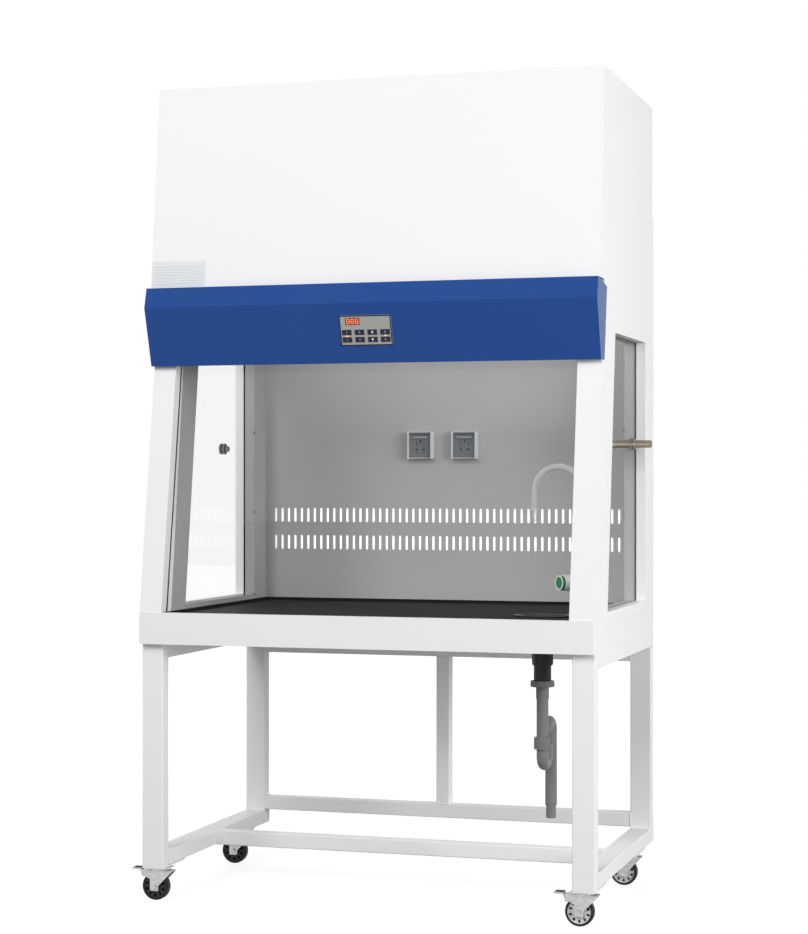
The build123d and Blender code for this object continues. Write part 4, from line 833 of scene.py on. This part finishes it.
key_black = grained("key_dark_plastic", (0.009, 0.011, 0.028), 0.4, shade=0.1, grain=1800.0, depth=0.08)
sign_pale = grained("key_pale_print", (0.3, 0.29, 0.4), 0.5, shade=0.08, cloud=300.0, grain=2500.0)
sign_white = grained("key_white_print", (0.85, 0.85, 0.85), 0.5, shade=0.08, cloud=300.0, grain=2500.0)
for number, (sides, spin) in enumerate(SIGNS, 1):
    coat_node(f"key_{number}", key_black)
    u = KEY_COLUMNS[(number - 1) % 4]
    v = KEY_ROWS[(number - 1) // 4]
    bright = u == KEY_COLUMNS[2]
    sign = round_blank(SIGN_RADIUS, SIGN_THICK, sides)
    open_piece(sign, top_face)
    bpy.ops.mesh.inset(thickness=(BOLD_LINE if bright else SIGN_LINE) * MM)
    bpy.ops.transform.translate(value=(0, 0, -SIGN_HOLLOW * MM))
    close_piece()
    bar = block_blank(SIGN_BAR, (0.0, -SIGN_BAR_DOWN, SIGN_THICK / 2))
    soften(bar, 0.05, 1)
    sign = placed(sign, on_panel(u, v + SIGN_UP, KEY_TOP, spin))
    bar = placed(bar, on_panel(u, v, KEY_TOP))
    finish = sign_white if bright else sign_pale
    dressed(joined([sign, bar]), f"key_sign_{number}", finish, f"button_{number}")

display_red = grained("display_red_window", (0.14, 0.012, 0.008), 0.2, shade=0.1, grain=1800.0, depth=0.02)
coat_node("display_window", display_red)
digit_glow = glowing("digit_orange_light", (1.0, 0.2, 0.09), DIGIT_GLOW)
centre_u, centre_v = DISPLAY_PLACE
level_places = []
upright_places = []
for digit in (-1, 0, 1):
    u = centre_u + digit * DIGIT_PITCH
    level_places += [on_panel(u, centre_v + level * DIGIT_HALF, LENS_TOP) for level in (-1, 0, 1)]
    sides = (u - DIGIT_WIDTH / 2, u + DIGIT_WIDTH / 2)
    middles = (centre_v - DIGIT_HALF / 2, centre_v + DIGIT_HALF / 2)
    upright_places += [on_panel(across, up, LENS_TOP, 90.0) for across in sides for up in middles]
strokes = []
for length, places in ((DIGIT_WIDTH, level_places), (DIGIT_HALF, upright_places)):
    stroke = block_blank((length - STROKE / 2, STROKE, STROKE_THICK), (0.0, 0.0, STROKE_THICK / 2))
    soften(stroke, 0.3, 1)
    strokes += copies_of(stroke, places)
dressed(joined(strokes), "display_digits", digit_glow, "hood")
for name, u, width, colour in LIGHTS:
    light = block_blank((width, *LIGHT_SIZE), (0.0, 0.0, LIGHT_SIZE[1] / 2))
    soften(light, 0.5, 3)
    light = placed(light, on_panel(u, sum(KEY_ROWS) / 2, PANEL_TOP - SUNK))
    name = f"state_light_{name}"
    dressed(light, name, glowing(name, colour, LIGHT_GLOW), "hood")
coat_node("control_board", grained("circuit_board_green", (0.02, 0.14, 0.06), 0.4, shade=0.15, cloud=60.0))


# The sockets: moulded boxes on the back wall, each under a tinted flap on a hinge pin.
# The contact slots of the box are flat near-black blocks of painted shade on its face; they show through the
# flap, which has a moulded grip across it.
CONTACTS = ((0.0, 9.0, 90.0), (-11.0, -13.0, 0.0), (11.0, -13.0, 0.0))
CONTACT_SIZE = (8.5, 3.0, 0.5)
GRIP_SIZE = (46.0, 4.0, 1.4)
GRIP_UP = 22.0
FLAP_COVER = 0.3
IN_FRONT = -1.0
socket_grey = grained("socket_grey_plastic", (0.56, 0.58, 0.6), 0.4, shade=0.05, grain=1500.0, depth=0.08)
flap_tint = grained("socket_flap_tinted", (0.02, 0.03, 0.05), 0.25, shade=0.08, grain=1500.0, depth=0.04)
flap_tint.node_tree.nodes["Principled BSDF"].inputs["Alpha"].default_value = FLAP_COVER
coat_node("socket_boxes", socket_grey)
grip_grey = grained("flap_grip_grey", (0.3, 0.33, 0.36), 0.3, shade=0.08, grain=1500.0)
# Painted shade: flat near-black blocks on the box face stand for the shade inside the contact slots
contact_painted_shade = grained("socket_contact_painted_shade", (0.01, 0.01, 0.012), 0.5, shade=0.2, grain=1500.0)
for side in (-1, 1):
    name = side_names[side]
    cover = f"socket_cover_{name}"
    coat_node(cover, flap_tint)
    middle = middle_of(cover)
    slots = []
    for across, up, spin in CONTACTS:
        reach = Vector((middle.x + across * MM, IN_FRONT, middle.z + up * MM))
        _, seat, _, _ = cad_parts["socket_boxes"].ray_cast(reach, Vector((0, 1, 0)))
        slot = block_blank(CONTACT_SIZE)
        soften(slot, 0.15, 1)
        slots += copies_of(slot, [facing(seat, (0, -1, 0), radians(spin))])
    dressed(joined(slots), f"socket_contacts_{name}", contact_painted_shade, "hood")
    grip = block_blank(GRIP_SIZE)
    soften(grip, 0.6, 2)
    seat = Vector((middle.x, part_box(cover)[0][1], middle.z + GRIP_UP * MM))
    grip = placed(grip, facing(seat, (0, -1, 0)))
    dressed(grip, f"flap_grip_{name}", grip_grey, f"socket_flap_{name}")


# The water tap: a white coated valve with a green moulded knob and a swan-neck spout of smoky plastic.
# The spout turns in the valve's head.
KNOB_FACING = (-0.70711, -0.70711, 0.0)
KNOB_HALF = 4.3
KNOB_RIM = (19.2, 15.2, 1.8)
SPOUT_BLEND = 0.6
SPOUT_COVER = 0.35


def ring_blank(outer, inner, height, sides=32):
    """A flat ring in millimetres that stands along Z on the origin."""
    ring = round_blank(outer, height, sides)
    open_piece(ring, end_face)
    bpy.ops.mesh.inset(thickness=(outer - inner) * MM)
    bpy.ops.mesh.delete(type="FACE")
    pick(ring, lambda edge: edge.is_boundary, "EDGE")
    bpy.ops.mesh.bridge_edge_loops()
    close_piece()
    return ring


valve_white = grained("valve_white_coat", (0.85, 0.85, 0.85), 0.35, shade=0.03)
coat_node("water_fittings", valve_white)
spout_clear = grained("spout_smoky_plastic", (0.85, 0.86, 0.86), 0.22, shade=0.06, coat=0.6)
tree = spout_clear.node_tree
side_on = tree.nodes.new("ShaderNodeLayerWeight")
side_on.inputs["Blend"].default_value = SPOUT_BLEND
cover = new_range(tree, least=SPOUT_COVER)
wire(tree, side_on, "Facing", cover, "Value")
wire(tree, cover, "Result", tree.nodes["Principled BSDF"], "Alpha")
coat_node("faucet_gooseneck", spout_clear)
coat_node("water_knob", grained("knob_green", (0.02, 0.24, 0.09), 0.4, shade=0.12, grain=1500.0))
rim = ring_blank(*KNOB_RIM, 48)
soften(rim, 0.6, 3)
face = middle_of("water_knob") + Vector(KNOB_FACING) * KNOB_HALF * MM
rim = placed(rim, facing(face, KNOB_FACING))
dressed(rim, "knob_rim", valve_white, "water_valve_knob")


# The gas tap: a drawn tube through the side window with hexagon nuts and a paddle lever.
# The tube is brass under a dull beige lacquer, and the plug in the left window is grey steel.
MOUTH_RADIUS = 8.5
MOUTH_THICK = 0.3
MOUTH_RIM = 1.2
MOUTH_HOLLOW = 0.1
NEAR_MOUTH = 0.1
PLUG_GREY = (0.2, 0.2, 0.21, 1.0)
MIDDLE_BAND = 0.01
tap_brass = brushed("tap_brass", (0.5, 0.44, 0.34), 0.35, (4.0, 1.0, 1.0), metal=0.8)
tree = tap_brass.node_tree
place = tree.nodes.new("ShaderNodeTexCoord")
parts = tree.nodes.new("ShaderNodeSeparateXYZ")
wire(tree, place, "Object", parts, "Vector")
right = new_range(tree, -MIDDLE_BAND, MIDDLE_BAND)
wire(tree, parts, "X", right, "Value")
tone = new_colour_mix(tree)
tone.inputs["A"].default_value = PLUG_GREY
wire(tree, right, "Result", tone, "Factor")
tap_shader = tree.nodes["Principled BSDF"]
tree.links.new(tap_shader.inputs["Base Color"].links[0].from_socket, tone.inputs["B"])
wire(tree, tone, "Result", tap_shader, "Base Color")
coat_node("side_ports", tap_brass)
coat_node("gas_tap_lever", tap_brass)
# Painted shade: a near-black disc with a shallow hollow at the tube's open end stands for the shade inside
# its bore
bore_painted_shade = grained("tube_bore_painted_shade", (0.03, 0.025, 0.02), 0.6, shade=0.2, grain=1800.0)
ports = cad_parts["side_ports"]
outer = max(vertex.co.x for vertex in ports.data.vertices)
mouth = [vertex.co for vertex in ports.data.vertices if vertex.co.x > outer - NEAR_MOUTH * MM]
centre = sum(mouth, Vector()) / len(mouth)
bore = round_blank(MOUTH_RADIUS, MOUTH_THICK, 32, -MOUTH_THICK)
open_piece(bore, top_face)
bpy.ops.mesh.inset(thickness=MOUTH_RIM * MM)
bpy.ops.transform.translate(value=(0, 0, -MOUTH_HOLLOW * MM))
close_piece()
bore = placed(bore, facing(centre, (1, 0, 0)))
dressed(bore, "gas_tube_mouth", bore_painted_shade, "hood")


# The housing: white coated covers over the blower, with a bare foil plate on the front cover's left.
# Pan-head screws hold the top panel and the rear panel to the folded walls, and rivets hold the collar.
PLATE_SIZE = (156.0, 70.0)
PLATE_THICK = 0.4
PLATE_BORDER = 2.0
PLATE_RAISED = 0.15
PLATE_CENTRE = (-539.0, 82.2, 1690.0)
COVER_LEAN = 0.1086
RULES = 7
RULE_WIDTH = 0.6
RULE_THICK = 0.1
RULE_MARGIN = 7.0
SCREW_INSET = 14.0
TOP_SCREWS = 7
SIDE_SCREWS = 3
SIDE_SCREW_FRONT = 42.0
SIDE_SCREW_MARGINS = 56.0
REAR_SCREW_DROPS = (28.0, 252.0)
RIVETS = 12
RIVET_SIZE = (2.6, 1.4)
RIVET_INSET = 8.0
FLANGE_THICK = 1.5
foil = grained("bare_foil_plate", (0.74, 0.77, 0.79), 0.4, shade=0.08, cloud=14.0, grain=1500.0, gloss=0.5)
plate = block_blank((*PLATE_SIZE, PLATE_THICK), (0.0, 0.0, PLATE_THICK / 2))
open_piece(plate, top_face)
bpy.ops.mesh.inset(thickness=PLATE_BORDER * MM)
bpy.ops.transform.translate(value=(0, 0, PLATE_RAISED * MM))
close_piece()
place = Matrix.Translation(spot(*PLATE_CENTRE)) @ Matrix.Rotation(pi / 2 - atan(COVER_LEAN), 4, "X")
dressed(placed(plate, place), "foil_plate", foil, "hood")
rule_lift = PLATE_THICK + PLATE_RAISED + RULE_THICK / 2
rule = block_blank((PLATE_SIZE[0] - 2 * RULE_MARGIN, RULE_WIDTH, RULE_THICK), (0.0, 0.0, rule_lift))
soften(rule, 0.04, 1)
pitch = PLATE_SIZE[1] / (RULES + 2) * MM
places = [place @ Matrix.Translation((0, (step - RULES / 2) * pitch, 0)) for step in range(RULES)]
rule_grey = grained("foil_plate_rules", (0.3, 0.31, 0.34), 0.5, shade=0.1, cloud=60.0)
dressed(placed(rule, *places), "foil_plate_rules", rule_grey, "hood")
low, high = (Vector(corner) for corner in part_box("housing_top_panel"))
edge = SCREW_INSET * MM
left, right = low.x + edge, high.x - edge
pitch = (right - left) / (TOP_SCREWS - 1)
tops = [(left + pitch * step, high.y - edge) for step in range(TOP_SCREWS)]
pitch = (high.y - low.y - SIDE_SCREW_MARGINS * MM) / SIDE_SCREWS
start = low.y + SIDE_SCREW_FRONT * MM
tops += [(x, start + pitch * step) for step in range(SIDE_SCREWS) for x in (left, right)]
places = [Matrix.Translation((x, y, high.z)) for x, y in tops]
dressed(placed(cross_screw(SHEET_SCREW), *places), "top_panel_screws", screw_zinc, "hood")
places = [facing(Vector((x, high.y, high.z - drop * MM)), (0, 1, 0), x) for x in (left, 0.0, right)
          for drop in REAR_SCREW_DROPS]
dressed(placed(cross_screw(SHEET_SCREW), *places), "rear_panel_screws", screw_zinc, "hood")
collar_low, collar_high = (Vector(corner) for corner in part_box("exhaust_collar"))
centre = (collar_low + collar_high) / 2
centre.z = collar_low.z + FLANGE_THICK * MM
flange = (collar_high.x - collar_low.x) / 2 - RIVET_INSET * MM
rivet = round_blank(*RIVET_SIZE, 16, -SUNK)
soften(rivet, 0.8, 3)
angles = [2 * pi * step / RIVETS for step in range(RIVETS)]
places = [Matrix.Translation(centre + flange * Vector((cos(angle), sin(angle), 0))) for angle in angles]
dressed(placed(rivet, *places), "collar_rivets", screw_zinc, "hood")
coat_node("ceiling_lamp", grained("lamp_white", (0.85, 0.85, 0.84), 0.3))
coat_node("exhaust_collar", zinc_plate)
coat_node("cable_gland", moulded_black)


# The sash drive and the blower: aluminium guides and rail, steel shafts with toothed pulleys and belts,
# enamelled motors, and a zinc-plated scroll round a bladed wheel.
anodised = brushed("anodised_aluminium", (0.62, 0.62, 0.62), 0.35, (1.0, 1.0, 4.0))
machined = brushed("machined_steel", (0.5, 0.5, 0.51), 0.3, (4.0, 1.0, 1.0))
motor_grey = grained("motor_grey_enamel", (0.12, 0.14, 0.16), 0.45)
belt_black = grained("belt_rubber", (0.03, 0.03, 0.03), 0.6, shade=0.2, grain=1800.0, depth=0.15)
for material, nodes in ((anodised, ("sash_top_rail", "sash_guides")),
                        (machined, ("drive_shaft", "idler_shaft", "blower_wheel")),
                        (belt_black, ("sash_belts",)),
                        (motor_grey, ("sash_motor", "blower_motor")),
                        (zinc_plate, ("blower_scroll",))):
    for node in nodes:
        coat_node(node, material)


# The studio: plain pale floor, an even white surround and soft lamps from the front, the right and behind.
# Two strips in the plenum stand for the daylight that comes through the baffle's slots.
FLOOR_SIZE = 40.0
FLOOR_DROP = 0.0005
FLOOR_SHADE = 0.25
FLOOR_ROUGHNESS = 0.9
FLOOR_LIFT = 0.86
FLOOR_FADE = (1.2, 2.6)
SURROUND_LEVEL = 0.26
WHITE = (1.0, 1.0, 1.0, 1.0)
SLOT_HEIGHTS = (0.945, 1.026)
PLENUM_FRONT = 0.387
STRIP_LENGTH = 1.1
SOFT_BOXES = (("front_soft_box", (-1.6, -5.4, 4.2), (0.0, 0.0, 0.9), 3.0, 240.0),
              ("side_soft_box", (5.0, -2.0, 1.9), (0.3, 0.0, 0.9), 2.5, 200.0),
              ("rear_soft_box", (-3.5, 5.0, 3.2), (0.0, 0.0, 1.2), 2.5, 90.0))
STRIPS = (("chamber_lamp", (0.0, 0.0, 1.57), (0.0, 0.5, 1.2), STRIP_LENGTH, 1.95, 0.05),
          *(("plenum_strip", (0.0, PLENUM_FRONT, height), (0.0, 0.5, height), STRIP_LENGTH, 0.3, 0.06)
            for height in SLOT_HEIGHTS))


def straight_rays(tree):
    """A node that gives 1 to what is seen straight, in gloss or through glass, and 0 to the light's rays."""
    path = tree.nodes.new("ShaderNodeLightPath")
    seen = new_math(tree, "MAXIMUM")
    wire(tree, path, "Is Camera Ray", seen, 0)
    wire(tree, path, "Is Glossy Ray", seen, 1)
    through = new_math(tree, "MAXIMUM")
    wire(tree, seen, 0, through, 0)
    wire(tree, path, "Is Transmission Ray", through, 1)
    return through


bpy.ops.object.select_all(action="DESELECT")
bpy.ops.mesh.primitive_plane_add(size=FLOOR_SIZE, location=(0.0, 0.0, -FLOOR_DROP))
floor = bpy.context.object
floor.name = "studio_floor"
material, tree, shader = new_finish("studio_floor_white")
shader.inputs["Base Color"].default_value = (FLOOR_SHADE, FLOOR_SHADE, FLOOR_SHADE, 1.0)
shader.inputs["Roughness"].default_value = FLOOR_ROUGHNESS
shader.inputs["Specular IOR Level"].default_value = 0.0
place = tree.nodes.new("ShaderNodeTexCoord")
away = new_vector_math(tree, "LENGTH")
wire(tree, place, "Object", away, 0)
fade = new_range(tree, *FLOOR_FADE, least=FLOOR_LIFT)
wire(tree, away, "Value", fade, "Value")
lift = new_math(tree, "MULTIPLY")
wire(tree, straight_rays(tree), 0, lift, 0)
wire(tree, fade, "Result", lift, 1)
shader.inputs["Emission Color"].default_value = WHITE
wire(tree, lift, 0, shader, "Emission Strength")
floor.data.materials.append(material)

world = bpy.data.worlds.new("white_surround")
bpy.context.scene.world = world
world.use_nodes = True
tree = world.node_tree
background = tree.nodes["Background"]
background.inputs["Color"].default_value = WHITE
level = new_range(tree, least=SURROUND_LEVEL)
wire(tree, straight_rays(tree), 0, level, "Value")
wire(tree, level, "Result", background, "Strength")


def soft_lamp(name, place, aim, size, watts, height=None):
    """A square soft box or a strip that points at a spot on the hood, and that gloss doesn't mirror."""
    data = bpy.data.lights.new(name, "AREA")
    data.shape = "RECTANGLE" if height else "SQUARE"
    data.size = size
    if height:
        data.size_y = height
    data.energy = watts
    lamp = bpy.data.objects.new(name, data)
    lamp.location = place
    lamp.rotation_euler = (Vector(aim) - Vector(place)).to_track_quat("-Z", "Y").to_euler()
    lamp.visible_glossy = False
    bpy.context.scene.collection.objects.link(lamp)


for lamp_plan in SOFT_BOXES + STRIPS:
    soft_lamp(*lamp_plan)
